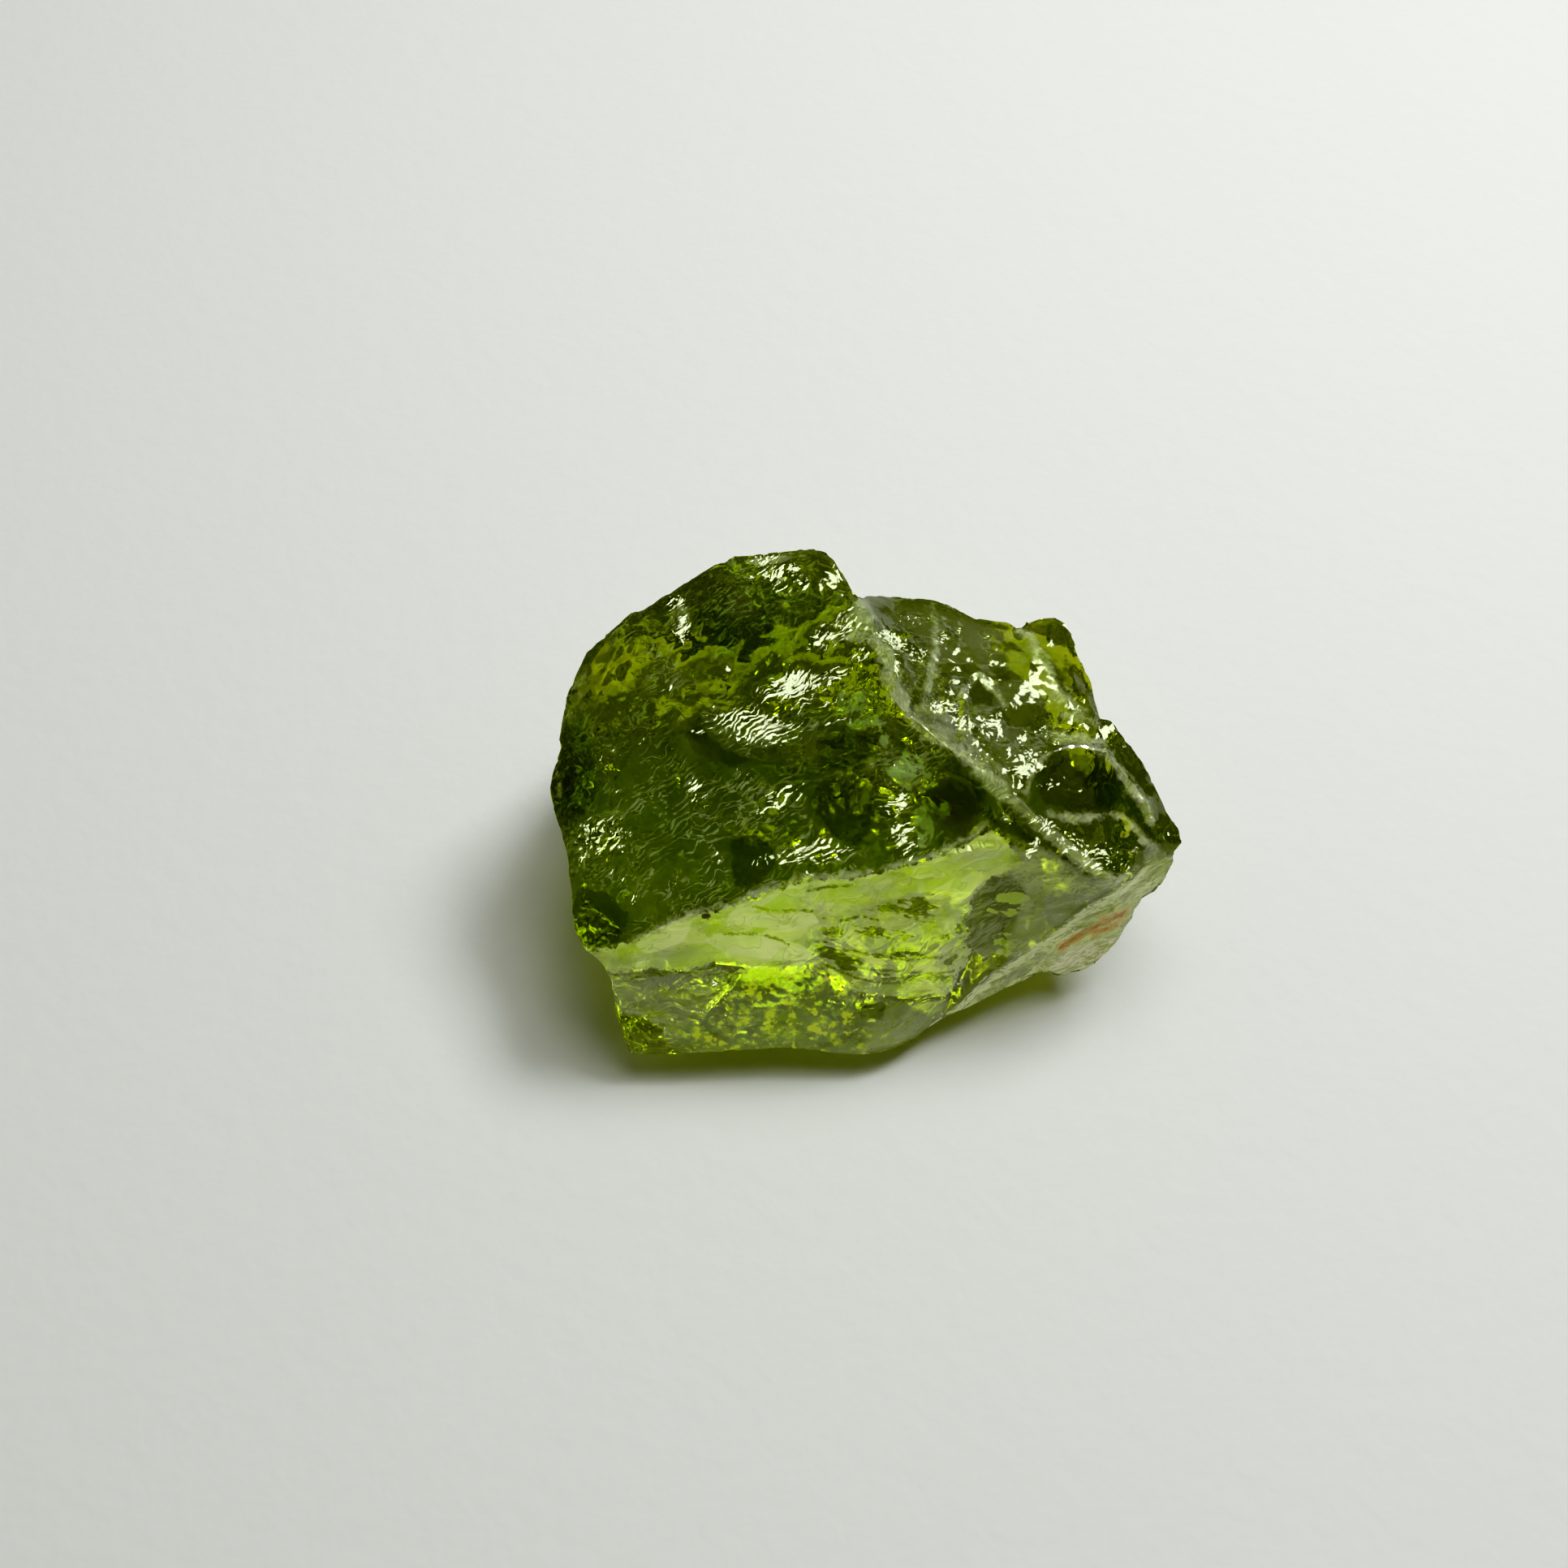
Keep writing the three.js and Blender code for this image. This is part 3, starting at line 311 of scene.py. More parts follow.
def outline_distance():
    """Distance of each point from the outline of the reference view, in its pixels."""
    fn = np.cross(V0[T0[:, 1]] - V0[T0[:, 0]], V0[T0[:, 2]] - V0[T0[:, 0]])
    mid_ = V0[T0].mean(axis=1)
    lit = (fn * (EYE - mid_)).sum(axis=1) > 0
    e = np.concatenate([T0[:, [0, 1]], T0[:, [1, 2]], T0[:, [2, 0]]])
    own = np.tile(lit, 3)
    code = e.min(axis=1) * len(V0) + e.max(axis=1)
    order = np.argsort(code, kind="stable")
    code, own = code[order], own[order]
    turn = (code[:-1] == code[1:]) & (own[:-1] != own[1:])
    a, b = code[:-1][turn] // len(V0), code[:-1][turn] % len(V0)
    xa, ya = to_picture(V0[a])
    xb, yb = to_picture(V0[b])
    d = np.full(len(V), 1e9)
    for x0, y0, x1, y1 in zip(xa, ya, xb, yb):
        dx, dy = x1 - x0, y1 - y0
        s_ = np.clip(((PX - x0) * dx + (PY - y0) * dy) / max(dx * dx + dy * dy, 1e-9), 0, 1)
        d = np.minimum(d, (PX - x0 - s_ * dx) ** 2 + (PY - y0 - s_ * dy) ** 2)
    return np.sqrt(d)


RIM = outline_distance()


def blob(cx, cy, rx, ry, rot=0.0, soft=0.35):
    """1 inside an ellipse of the reference view, 0 outside, on the side that faces it."""
    a = math.radians(rot)
    x, y = PX - cx, -(PY - cy)
    u = (x * math.cos(a) + y * math.sin(a)) / rx
    w = (-x * math.sin(a) + y * math.cos(a)) / ry
    return (1 - smooth(1 - soft, 1 + soft, np.sqrt(u * u + w * w))) * FRONT


def near_line(points, width):
    """1 on a chain of points of the reference view, falling to 0 at width."""
    d = np.full(len(PX), 1e9)
    for (x0, y0), (x1, y1) in zip(points[:-1], points[1:]):
        dx, dy = x1 - x0, y1 - y0
        s = np.clip(((PX - x0) * dx + (PY - y0) * dy) / (dx * dx + dy * dy), 0, 1)
        d = np.minimum(d, np.hypot(PX - x0 - s * dx, PY - y0 - s * dy))
    return (1 - smooth(0.15 * width, width, d)) * FRONT


def line_distance(*chains):
    """Distance in picture units from chains of points of the reference view; large on the far side."""
    d = np.full(len(PX), 1e9)
    for points in chains:
        for (x0, y0), (x1, y1) in zip(points[:-1], points[1:]):
            dx, dy = x1 - x0, y1 - y0
            s = np.clip(((PX - x0) * dx + (PY - y0) * dy) / (dx * dx + dy * dy), 0, 1)
            d = np.minimum(d, np.hypot(PX - x0 - s * dx, PY - y0 - s * dy))
    return np.minimum(d, 400.0) * AROUND + 400.0 * (1 - AROUND)


def depth_inside(points):
    """Distance in picture units from the border of a polygon, above 0 inside it and below 0 outside."""
    d = np.full(len(PX), 1e9)
    odd = np.zeros(len(PX), dtype=bool)
    for (x0, y0), (x1, y1) in zip(points, points[1:] + points[:1]):
        dx, dy = x1 - x0, y1 - y0
        s = np.clip(((PX - x0) * dx + (PY - y0) * dy) / max(dx * dx + dy * dy, 1e-9), 0, 1)
        d = np.minimum(d, np.hypot(PX - x0 - s * dx, PY - y0 - s * dy))
        cross = (y0 > PY) != (y1 > PY)
        at = x0 + (PY - y0) * dx / (dy if abs(dy) > 1e-9 else 1e-9)
        odd ^= cross & (PX < at)
    d = np.clip(np.where(odd, d, -d), -400, 400)
    return d * AROUND - 400.0 * (1 - AROUND)


# ------------------------------------------------------------------ relief of the breaks
def sawtooth(x, drop=0.22):
    f = x - np.floor(x)
    return np.where(f < 1 - drop, f / (1 - drop), (1 - f) / drop)


relief = np.zeros(len(V))
BACK = 1 - FRONT
warp = np.stack([fractal(V, 0.8, sd, 3) for sd in (101, 102, 103)], axis=1)
W1 = V + 0.35 * warp
bowls_big = scallops(W1, 0.85, 31, 0.34, 0.26)
bowls_mid = scallops(V + 0.22 * warp, 2.1, 32, 0.34, 0.26)
bowls_small = scallops(V + 0.10 * warp, 4.6, 33, 0.34, 0.26)
bowls_huge = scallops(V + 0.6 * warp, 0.42, 34, 0.34, 0.22)
# how broken each place is
busy = np.zeros(len(V))
for cx, cy, rx, ry, rot, amount in (
    (838, 762, 26, 40, 0, 0.8), (955, 712, 42, 30, 10, 0.8), (1028, 788, 42, 24, 20, 0.9), (972, 846, 40, 18, 0, 1.0),
    (925, 895, 52, 26, -10, 0.7), (980, 865, 34, 20, 0, 0.8), (862, 980, 20, 34, 20, 0.6), (740, 1030, 48, 40, 0, 0.7),
    (1003, 1050, 72, 28, 8, 0.9), (1105, 995, 30, 20, 0, 0.9), (1113, 1032, 22, 30, 0, 0.8), (1040, 870, 48, 42, 0, 0.9),
    (1040, 1000, 60, 60, 0, 0.5), (765, 900, 44, 44, 0, 0.4), (1130, 950, 40, 40, 0, 0.6), (1032, 726, 20, 32, 30, 1.0),
):
    busy = np.maximum(busy, amount * blob(cx, cy, rx, ry, rot, 0.5))
right = smooth(-14, 30, (PX - 1060) * 0.75 - (PY - 740) * 0.55) * FRONT          # beyond the crest
below = smooth(-12, 16, (PY - 1180) + (PX - 700) * 0.27) * FRONT                   # under the brow
below = np.maximum(below, smooth(0, 20, PY - 1075) * smooth(0, 40, PX - 1000) * FRONT)
right = right * (1 - below)
left = FRONT * (1 - right) * (1 - below)
busy = np.maximum(busy, right * (0.14 + 0.14 * gnoise(V, 0.9, 44)))
for cx, cy, rx, ry, rot, amount in (
    (1102, 786, 26, 20, -30, 1.0), (1104, 824, 9, 20, 0, 0.9), (1165, 866, 22, 10, 0, 0.9), (1218, 925, 38, 24, -50, 0.9), (1262, 932, 20, 16, 0, 0.9),
    (1350, 1062, 26, 13, -30, 0.9), (1206, 850, 34, 24, 0, 0.6), (1290, 905, 34, 14, 0, 0.7), (1332, 885, 30, 14, -10, 0.7), (1300, 975, 26, 18, 0, 0.4), (1170, 775, 14, 34, 0, 0.4),
):
    busy = np.maximum(busy, amount * blob(cx, cy, rx, ry, rot, 0.5))
quiet = blob(830, 1040, 110, 90, 0, 0.5)
amp_big = 0.28 * left * (1 - 0.4 * quiet) + 0.32 * right + 0.14 * below + 0.45 * BACK
amp_mid = left * (0.07 + 0.48 * busy) * (1 - 0.6 * quiet) + 0.20 * right + 0.10 * below + 0.25 * BACK
amp_small = 0.03 * left + 0.45 * busy * (1 - below) + 0.06 * below + 0.12 * BACK
few = smooth(-0.25, 0.4, fractal(V, 0.7, 41, 2))
relief += amp_big * (bowls_big - np.median(bowls_big))
relief += amp_mid * (0.4 + 0.6 * few) * (bowls_mid - np.median(bowls_mid))
relief += amp_small * (bowls_small - np.median(bowls_small))
relief += 0.7 * BACK * (bowls_huge - np.median(bowls_huge))
relief += 0.010 * fractal(V, 2.2, 51, 3)
relief -= relief[FRONT > 0.9].mean() * FRONT
relief *= smooth(0, 26, RIM) * FRONT + smooth(4, 70, RIM) * BACK

# ribs and hackles: asymmetric steps that run across each zone
def ribs(mask, angle, pitch, depth, bend=0.0, seed=1, centre=None, drop=0.25):
    a = math.radians(angle)
    x, y = PX, -PY
    wob = fractal(V, 1.3, 200 + seed, 3)
    if centre is None:
        phase = (x * math.cos(a) + y * math.sin(a)) / pitch
    else:
        phase = np.hypot(PX - centre[0], PY - centre[1]) / pitch
    phase = phase + wob * bend
    fade = smooth(-0.35, 0.35, gnoise(V, 1.6, 300 + seed))
    return depth * mask * (sawtooth(phase, drop) - 0.5) * fade


relief += ribs(blob(900, 900, 170, 90, -15), 0, 17, 0.014, 1.2, 1, centre=(980, 700))
relief += ribs(blob(820, 960, 120, 90, 0), 40, 15, 0.010, 1.6, 2)
relief += ribs(blob(1010, 1020, 110, 60, 10), 60, 19, 0.018, 1.6, 3)
relief += ribs(blob(1150, 870, 120, 110, -40), 50, 17, 0.018, 1.8, 4)
relief += ribs(blob(1330, 900, 90, 110, -60), 70, 22, 0.020, 1.4, 5)
relief += ribs(blob(1080, 1190, 110, 50, -15), 75, 14, 0.018, 1.5, 6)
relief += ribs(blob(940, 1245, 150, 60, 0), 30, 24, 0.016, 1.6, 7)
relief += ribs(blob(850, 760, 110, 60, 30), 10, 13, 0.010, 1.6, 8)

# chipped arrises
chip, _ = facets(V + warp * 0.2, 3.2, 61, 0.9)
soft_arris = ARRIS.copy()
for _ in range(3):
    acc = soft_arris.copy()
    cnt = np.ones(len(V))
    for a, b in ((0, 1), (1, 2), (2, 0)):
        np.add.at(acc, T[:, a], soft_arris[T[:, b]])
        np.add.at(cnt, T[:, a], 1)
        np.add.at(acc, T[:, b], soft_arris[T[:, a]])
        np.add.at(cnt, T[:, b], 1)
    soft_arris = acc / cnt
worn = smooth(0.12, 0.5, soft_arris)
relief -= worn * (0.012 + 0.05 * smooth(0.35, 0.9, chip))

relief[REST] = 0
V = V + N * relief[:, None]
V[REST, 2] = 0.0
V[~REST, 2] = np.maximum(V[~REST, 2], 0.004)

# ------------------------------------------------------------------ how worn, frosted or stained each place is, and where shade, highlights and reflections are painted
# Each mark is a smooth field over the surface. The material cuts it with fine noise, so its edge is crisp.
CREST = [(1058, 738), (1066, 765), (1075, 785), (1085, 800), (1095, 820), (1105, 850), (1120, 880), (1135, 895), (1170, 918), (1200, 940), (1235, 975)]
CREST_LOW = [(1235, 975), (1265, 1003), (1300, 1038), (1350, 1075), (1375, 1085), (1400, 1070)]
BROW = [(720, 1172), (765, 1166), (800, 1150), (845, 1130), (875, 1122), (905, 1113), (950, 1096), (990, 1083), (1050, 1080), (1100, 1067), (1140, 1058), (1195, 1035), (1215, 1015)]
STEP = [(725, 1178), (755, 1198), (800, 1195), (850, 1197), (880, 1187), (915, 1190), (930, 1191), (960, 1189), (1010, 1190), (1025, 1197), (1040, 1210), (1060, 1222)]
KEEL = [(1127, 1280), (1170, 1245), (1195, 1222), (1220, 1195), (1255, 1165), (1300, 1140), (1345, 1108), (1390, 1080), (1400, 1070)]


def fall(d, width):
    return np.clip(1 - d / width, -1, 1)


frost = 0.95 * fall(line_distance(CREST), 14)
frost = np.maximum(frost, 0.7 * fall(line_distance(CREST_LOW), 9))
frost = np.maximum(frost, 0.62 * fall(line_distance([(1150, 740), (1153, 800), (1147, 845)]), 8))
frost = np.maximum(frost, 0.75 * fall(line_distance([(1255, 778), (1270, 785), (1278, 805), (1290, 825), (1300, 845), (1310, 862), (1335, 878)]), 10))
frost = np.maximum(frost, 0.8 * fall(line_distance([(1183, 858), (1205, 832), (1225, 855), (1235, 870)], [(1310, 880), (1355, 890)], [(1300, 905), (1335, 908), (1360, 915)]), 8))
frost = np.maximum(frost, 0.75 * fall(line_distance([(1265, 975), (1275, 945), (1300, 922), (1335, 912), (1355, 922), (1375, 945), (1395, 970), (1410, 990), (1418, 1010)]), 9))
frost = np.maximum(frost, 0.75 * fall(line_distance([(1290, 1000), (1330, 1010), (1370, 1003), (1385, 1005), (1410, 1035), (1420, 1042)]), 8))
frost = np.maximum(frost, 0.6 * fall(line_distance(BROW), 7))
frost = np.maximum(frost, 0.6 * fall(line_distance(STEP), 8))
# painted highlight: a pale line along the keel edge, where light catches the edge
edge = fall(line_distance([(1150, 1268), (1178, 1244), (1204, 1222), (1232, 1200), (1262, 1178), (1304, 1150), (1350, 1118), (1392, 1088), (1416, 1066)]), 7)
edge = np.maximum(edge, 0.8 * fall(line_distance([(1215, 1238), (1250, 1212), (1286, 1186)], [(1290, 1172), (1330, 1146)], [(1396, 1106), (1430, 1078)]), 5))
for cx, cy, rx, ry, rot, amount in (
    (1056, 776, 20, 24, 0, 0.9), (1114, 864, 12, 18, -10, 0.9), (950, 690, 36, 7, 5, 0.5), (705, 885, 9, 16, 30, 0.5), (686, 960, 7, 30, 10, 0.4),
    (838, 762, 18, 26, 0, 0.4), (1310, 862, 22, 9, -20, 0.55), (1335, 1062, 18, 10, -30, 0.5), (1425, 1062, 22, 24, 0, 0.6), (783, 1204, 20, 8, 0, 0.5),
):
    frost = np.maximum(frost, (1.0 + amount) * blob(cx, cy, rx, ry, rot, 0.5) - 1.0)
frost = np.maximum(frost, 1.35 * worn * (0.4 + 0.6 * smooth(-0.2, 0.4, gnoise(V, 2.2, 72))) - 1.0)

# painted reflection: pale smooth strips beside the crest, where a flat facet would mirror something pale
painted_sheen = np.maximum(
    depth_inside([(1124, 866), (1146, 860), (1176, 878), (1198, 902), (1216, 926), (1240, 948), (1258, 972), (1248, 990), (1222, 964), (1196, 940), (1166, 920), (1140, 902)]),
    depth_inside([(1236, 970), (1262, 986), (1300, 1020), (1345, 1058), (1376, 1076), (1350, 1084), (1310, 1052), (1275, 1018), (1250, 994)]))

# a veil of healed cracks under the front band, and where it is thickest
VEIL = [(720, 1174), (745, 1169), (780, 1159), (815, 1144), (860, 1126), (905, 1114), (950, 1098), (990, 1086), (1050, 1083), (1100, 1071), (1140, 1061), (1195, 1039), (1222, 1022), (1245, 1040), (1262, 1062), (1240, 1076),
        (1222, 1082), (1206, 1096), (1197, 1110), (1200, 1122), (1189, 1139), (1196, 1151), (1190, 1161), (1200, 1173), (1190, 1190), (1176, 1212), (1168, 1228), (1110, 1232), (1060, 1224), (1040, 1210), (1010, 1190), (930, 1191), (880, 1187), (850, 1197), (800, 1195), (755, 1199), (735, 1190)]
veil = depth_inside(VEIL)
thick = 0.97 * smooth(1035, 975, PX)
upper = depth_inside([(1000, 1084), (1100, 1068), (1195, 1036), (1222, 1020), (1248, 1040), (1262, 1062), (1240, 1076), (1215, 1084), (1198, 1098), (1150, 1100), (1090, 1110), (1040, 1122), (990, 1112)])
thick = np.maximum(thick, 0.88 * smooth(-10, 6, upper + 6 * fractal(V, 1.6, 81, 3)))
thick = np.clip(thick, 0.55, 1)
lens = np.maximum.reduce([
    depth_inside([(780, 1164), (800, 1148), (855, 1124), (852, 1140), (843, 1160), (820, 1170), (798, 1176)]),
    depth_inside([(893, 1142), (897, 1124), (908, 1115), (940, 1104), (965, 1093), (958, 1106), (930, 1122), (915, 1140)]),
    depth_inside([(868, 1160), (880, 1150), (930, 1149), (965, 1156), (992, 1166), (1002, 1180), (960, 1184), (915, 1178), (885, 1172)]),
    depth_inside([(905, 1122), (950, 1126), (1000, 1124), (1010, 1136), (985, 1148), (940, 1144), (908, 1138)])])
haze = depth_inside([(724, 1184), (755, 1202), (850, 1199), (880, 1190), (915, 1192), (903, 1214), (880, 1236), (852, 1270), (838, 1284), (812, 1262), (782, 1250), (762, 1248), (752, 1215), (738, 1196)])
# painted reflection: a dark grey patch in the front band, where a mirror-like facet would reflect the dark
# surroundings; isle marks lighter islands in it
painted_reflection = depth_inside([(1224, 1077), (1250, 1084), (1262, 1100), (1252, 1125), (1236, 1150), (1242, 1166), (1226, 1177), (1214, 1187), (1200, 1172), (1190, 1161), (1197, 1150), (1188, 1138), (1199, 1121), (1195, 1108), (1209, 1094)])
isle = np.maximum.reduce([
    depth_inside([(1232, 1106), (1248, 1099), (1264, 1106), (1262, 1122), (1248, 1127), (1235, 1119)]) - 2,
    depth_inside([(1208, 1118), (1222, 1114), (1226, 1124), (1214, 1130)]) - 3,
    depth_inside([(1226, 1160), (1242, 1154), (1250, 1162), (1236, 1174)]) - 1])
haze = np.maximum(haze, depth_inside([(1066, 1226), (1110, 1234), (1168, 1230), (1165, 1250), (1130, 1278), (1090, 1292), (1060, 1296), (1064, 1262)]))
smoke = depth_inside([(1225, 1020), (1262, 1034), (1300, 1050), (1345, 1082), (1392, 1080), (1345, 1110), (1300, 1146), (1268, 1172), (1240, 1184), (1240, 1150), (1254, 1125), (1264, 1100), (1250, 1082), (1226, 1075), (1242, 1070), (1246, 1040)])
crack = line_distance([(995, 1098), (1020, 1093), (1050, 1090)], [(925, 1115), (950, 1122), (1000, 1122)], [(890, 1150), (935, 1151), (960, 1158), (972, 1164)], [(868, 1128), (873, 1130)],
                      [(1035, 1135), (1060, 1128), (1082, 1133)], [(1040, 1170), (1075, 1176), (1120, 1182), (1160, 1178)], [(1060, 1192), (1100, 1196), (1150, 1200), (1176, 1196)], [(1015, 1188), (1060, 1206), (1110, 1214)])

fleck = depth_inside([(1000, 1125), (1060, 1105), (1120, 1098), (1180, 1090), (1196, 1112), (1190, 1150), (1196, 1180), (1176, 1210), (1110, 1225), (1050, 1212), (1005, 1185)])
wave = depth_inside([(1012, 1182), (1070, 1172), (1140, 1178), (1188, 1184), (1186, 1214), (1160, 1228), (1100, 1226), (1050, 1214)])
lime = depth_inside([(925, 1197), (1005, 1193), (1040, 1215), (1062, 1235), (1080, 1262), (1062, 1304), (905, 1306), (840, 1300), (822, 1275), (880, 1236), (902, 1216)])
# milky underside at the right, with a cream bulge at its end
milk = depth_inside([(1140, 1276), (1172, 1248), (1198, 1224), (1224, 1198), (1258, 1168), (1302, 1142), (1348, 1110), (1392, 1082), (1412, 1062), (1452, 1048), (1450, 1090), (1420, 1108), (1392, 1142), (1356, 1192), (1310, 1206), (1270, 1208), (1190, 1252)])
cream = depth_inside([(1284, 1200), (1300, 1178), (1330, 1164), (1374, 1150), (1392, 1130), (1404, 1118), (1380, 1160), (1352, 1192), (1312, 1206)])
stain = fall(line_distance([(1308, 1168), (1325, 1155), (1335, 1148), (1350, 1140), (1370, 1130), (1385, 1125)]), 9.5)
stain = np.maximum(stain, 0.8 * fall(line_distance([(1350, 1150), (1375, 1140)]), 9))
# painted shade: down-facing faces near the base get a darker tint, which darkens the view through the base
skin = smooth(-0.4, -0.8, N[:, 2]) * smooth(0.35, 0.05, V[:, 2])
speck = fall(line_distance([(697, 1012), (697, 1015)], [(868, 1128), (872, 1127)]), 5)

# fine curved striations: their phase, and how strong they are
phase = np.hypot(PX - 1010, PY - 1000) / 6.5
stria = blob(925, 893, 50, 24, -12, 0.4)
for cx, cy, rx, ry, rot, turn, pitch, amount in (
    (770, 905, 46, 44, 0, 40, 9.0, 0.28), (748, 980, 34, 40, 0, 35, 9.5, 0.28), (1085, 900, 40, 30, 20, 60, 8.0, 0.35), (985, 865, 34, 16, 30, 125, 6.5, 0.8),
    (905, 760, 60, 30, 20, 110, 8.0, 0.22), (1170, 880, 60, 46, -40, 40, 8.0, 0.55), (1330, 895, 50, 22, -15, 80, 7.5, 0.5), (1110, 1195, 80, 26, -12, 78, 9.0, 0.5),
    (740, 1200, 40, 20, 0, 60, 8.0, 0.35),
):
    m_ = blob(cx, cy, rx, ry, rot, 0.5)
    a_ = math.radians(turn)
    phase = np.where(m_ > 0.02, (PX * math.cos(a_) - PY * math.sin(a_)) / pitch, phase)
    stria = np.maximum(stria, amount * m_)
chips = busy + 0.35 * BACK * (~REST)

# patches whose fine steps lean toward the window
lean = np.zeros(len(V))
for cx, cy, rx, ry, rot, amount in (
    (833, 743, 13, 9, 0, 0.85), (841, 774, 11, 18, 0, 1.0), (945, 690, 20, 8, 5, 0.75), (962, 705, 34, 12, 8, 0.9), (975, 722, 26, 8, 5, 0.7), (1018, 788, 22, 14, 20, 0.85), (1042, 772, 18, 16, 0, 0.75), (1064, 810, 13, 12, 0, 0.8),
    (980, 848, 40, 20, 10, 1.1), (1022, 836, 30, 11, 25, 0.75), (990, 866, 24, 12, 35, 0.85), (928, 893, 54, 24, -12, 1.15), (958, 908, 24, 12, -10, 0.85), (882, 884, 12, 12, 0, 0.7), (858, 901, 9, 3, 0, 0.9),
    (860, 980, 11, 22, 10, 0.75), (921, 948, 14, 9, 0, 0.5), (960, 985, 32, 14, 30, 0.75), (1030, 860, 26, 8, 35, 0.7), (1106, 990, 21, 13, 20, 0.95), (1113, 1034, 17, 24, 0, 0.85), (1000, 1050, 56, 16, 10, 0.75), (940, 1062, 14, 12, 0, 0.5),
    (740, 1030, 34, 26, 0, 0.75), (720, 1052, 12, 14, 0, 0.7), (752, 1074, 5, 6, 0, 0.8), (768, 1086, 5, 5, 0, 0.8), (782, 1110, 5, 7, 0, 0.7), (884, 1060, 3, 14, 5, 0.7), (765, 893, 20, 5, 30, 0.45), (830, 848, 26, 3, 18, 0.8),
    (752, 930, 26, 12, 35, 0.4), (745, 985, 24, 10, 35, 0.4), (788, 912, 10, 22, -30, 0.4), (1100, 787, 21, 11, -25, 1.15), (1103, 822, 5, 16, 5, 1.0), (1130, 808, 11, 14, -30, 0.8), (1160, 788, 8, 9, 0, 0.8), (1182, 776, 3, 7, 0, 0.9),
    (1165, 866, 21, 8, -10, 1.1), (1188, 892, 28, 9, -42, 1.0), (1217, 896, 14, 17, -40, 0.9), (1200, 846, 20, 8, 45, 0.6), (1268, 938, 27, 17, 20, 1.0), (1275, 1041, 6, 17, -35, 1.15), (1286, 1016, 20, 9, -30, 0.85), (1322, 1043, 22, 12, -40, 0.9),
    (1352, 1058, 26, 18, -20, 0.8), (1322, 871, 14, 6, -15, 0.9), (1296, 900, 24, 7, 0, 0.7), (1300, 965, 22, 7, 15, 0.5), (1205, 925, 22, 12, -45, 0.6), (1145, 884, 14, 8, -40, 0.6), (1240, 1010, 14, 5, -45, 0.6),
    (785, 1206, 14, 6, 0, 0.9), (880, 1211, 4, 4, 0, 1.0), (1340, 1048, 12, 10, 0, 0.7), (1425, 1075, 14, 10, 20, 0.5), (1385, 1068, 12, 8, 0, 0.6), (700, 895, 6, 10, 20, 0.5), (1120, 765, 24, 7, 0, 0.5),
):
    lean = np.maximum(lean, amount * blob(cx, cy, rx, ry, rot, 0.6))

# painted shade: darker patches painted into the colour where the stone should look dim
painted_shade = np.maximum.reduce([
    depth_inside([(1140, 976), (1170, 956), (1200, 975), (1212, 1000), (1192, 1022), (1176, 1030), (1152, 1008), (1135, 992)]),
    depth_inside([(1222, 1010), (1250, 1012), (1278, 1034), (1268, 1050), (1240, 1042)]),
    depth_inside([(1004, 908), (1045, 902), (1084, 903), (1076, 926), (1050, 946), (1010, 952)]),
    depth_inside([(1000, 962), (1030, 955), (1075, 965), (1082, 1010), (1060, 1050), (1020, 1030), (1002, 1000)]) - 3,
    depth_inside([(898, 1036), (932, 1026), (950, 1040), (958, 1066), (935, 1092), (905, 1096)]),
    depth_inside([(1192, 842), (1215, 835), (1228, 852), (1222, 872), (1196, 872)]),
    depth_inside([(1220, 822), (1238, 820), (1248, 838), (1232, 848)]),
    depth_inside([(1270, 955), (1300, 932), (1340, 925), (1368, 948), (1390, 985), (1372, 998), (1332, 1004), (1284, 992)]) - 3,
    depth_inside([(835, 905), (860, 890), (905, 925), (935, 935), (905, 950), (860, 935)]) - 3,
    depth_inside([(702, 1120), (716, 1090), (750, 1100), (775, 1130), (765, 1160), (728, 1172), (712, 1150)]),
    depth_inside([(995, 682), (1022, 686), (1040, 718), (1028, 726), (1000, 712)]) - 2,
    depth_inside([(1052, 1238), (1092, 1236), (1088, 1256), (1058, 1258)])])
chips = np.clip(chips * (1 - 0.85 * smooth(-4, 4, painted_shade)), 0, 1)
# painted shade: how much each place is darkened in colour, so it looks dimmer
painted_dimming = np.zeros(len(V))
for cx, cy, rx, ry, rot, amount in (
    (920, 790, 230, 90, 5, 0.72), (1045, 930, 90, 80, 0, 0.5), (700, 950, 46, 90, 0, 0.95), (1175, 990, 55, 45, 0, 0.95), (1275, 835, 60, 55, -60, 0.6),
    (725, 1165, 50, 36, 0, 0.55), (770, 880, 70, 50, 0, 0.6), (935, 1207, 60, 13, 0, 0.5), (1322, 938, 30, 24, 0, 0.6), (1290, 1010, 70, 40, -30, 0.4), (1100, 1010, 60, 50, 0, 0.4), (700, 880, 34, 60, 30, 0.5),
):
    painted_dimming = np.maximum(painted_dimming, amount * blob(cx, cy, rx, ry, rot, 0.6))
painted_dimming = np.clip(painted_dimming - 0.30 * blob(785, 820, 75, 36, 0, 0.6) - 0.35 * blob(1100, 945, 60, 26, -60, 0.5), 0, 1)
patch_f = 0.5 + 0.40 * fractal(V, 0.7, 401, 3)
cloud_f = 0.5 + 0.55 * fractal(V * np.array([0.35, 1.0, 1.0]), 0.9, 402, 4)
tear_f = 0.5 + 0.55 * fractal(V, 1.1, 403, 3)
turn_f = 0.5 * np.stack([fractal(V, 1.3, 404 + k, 2) for k in range(3)], axis=1)
mist = depth_inside([(1072, 750), (1150, 745), (1240, 775), (1268, 775), (1300, 850), (1330, 880), (1270, 940), (1240, 950), (1180, 880), (1120, 850), (1095, 810)])
hack = left * smooth(-0.6, 0.2, gnoise(V, 1.1, 88)) * (1 - smooth(-20, 10, painted_shade))
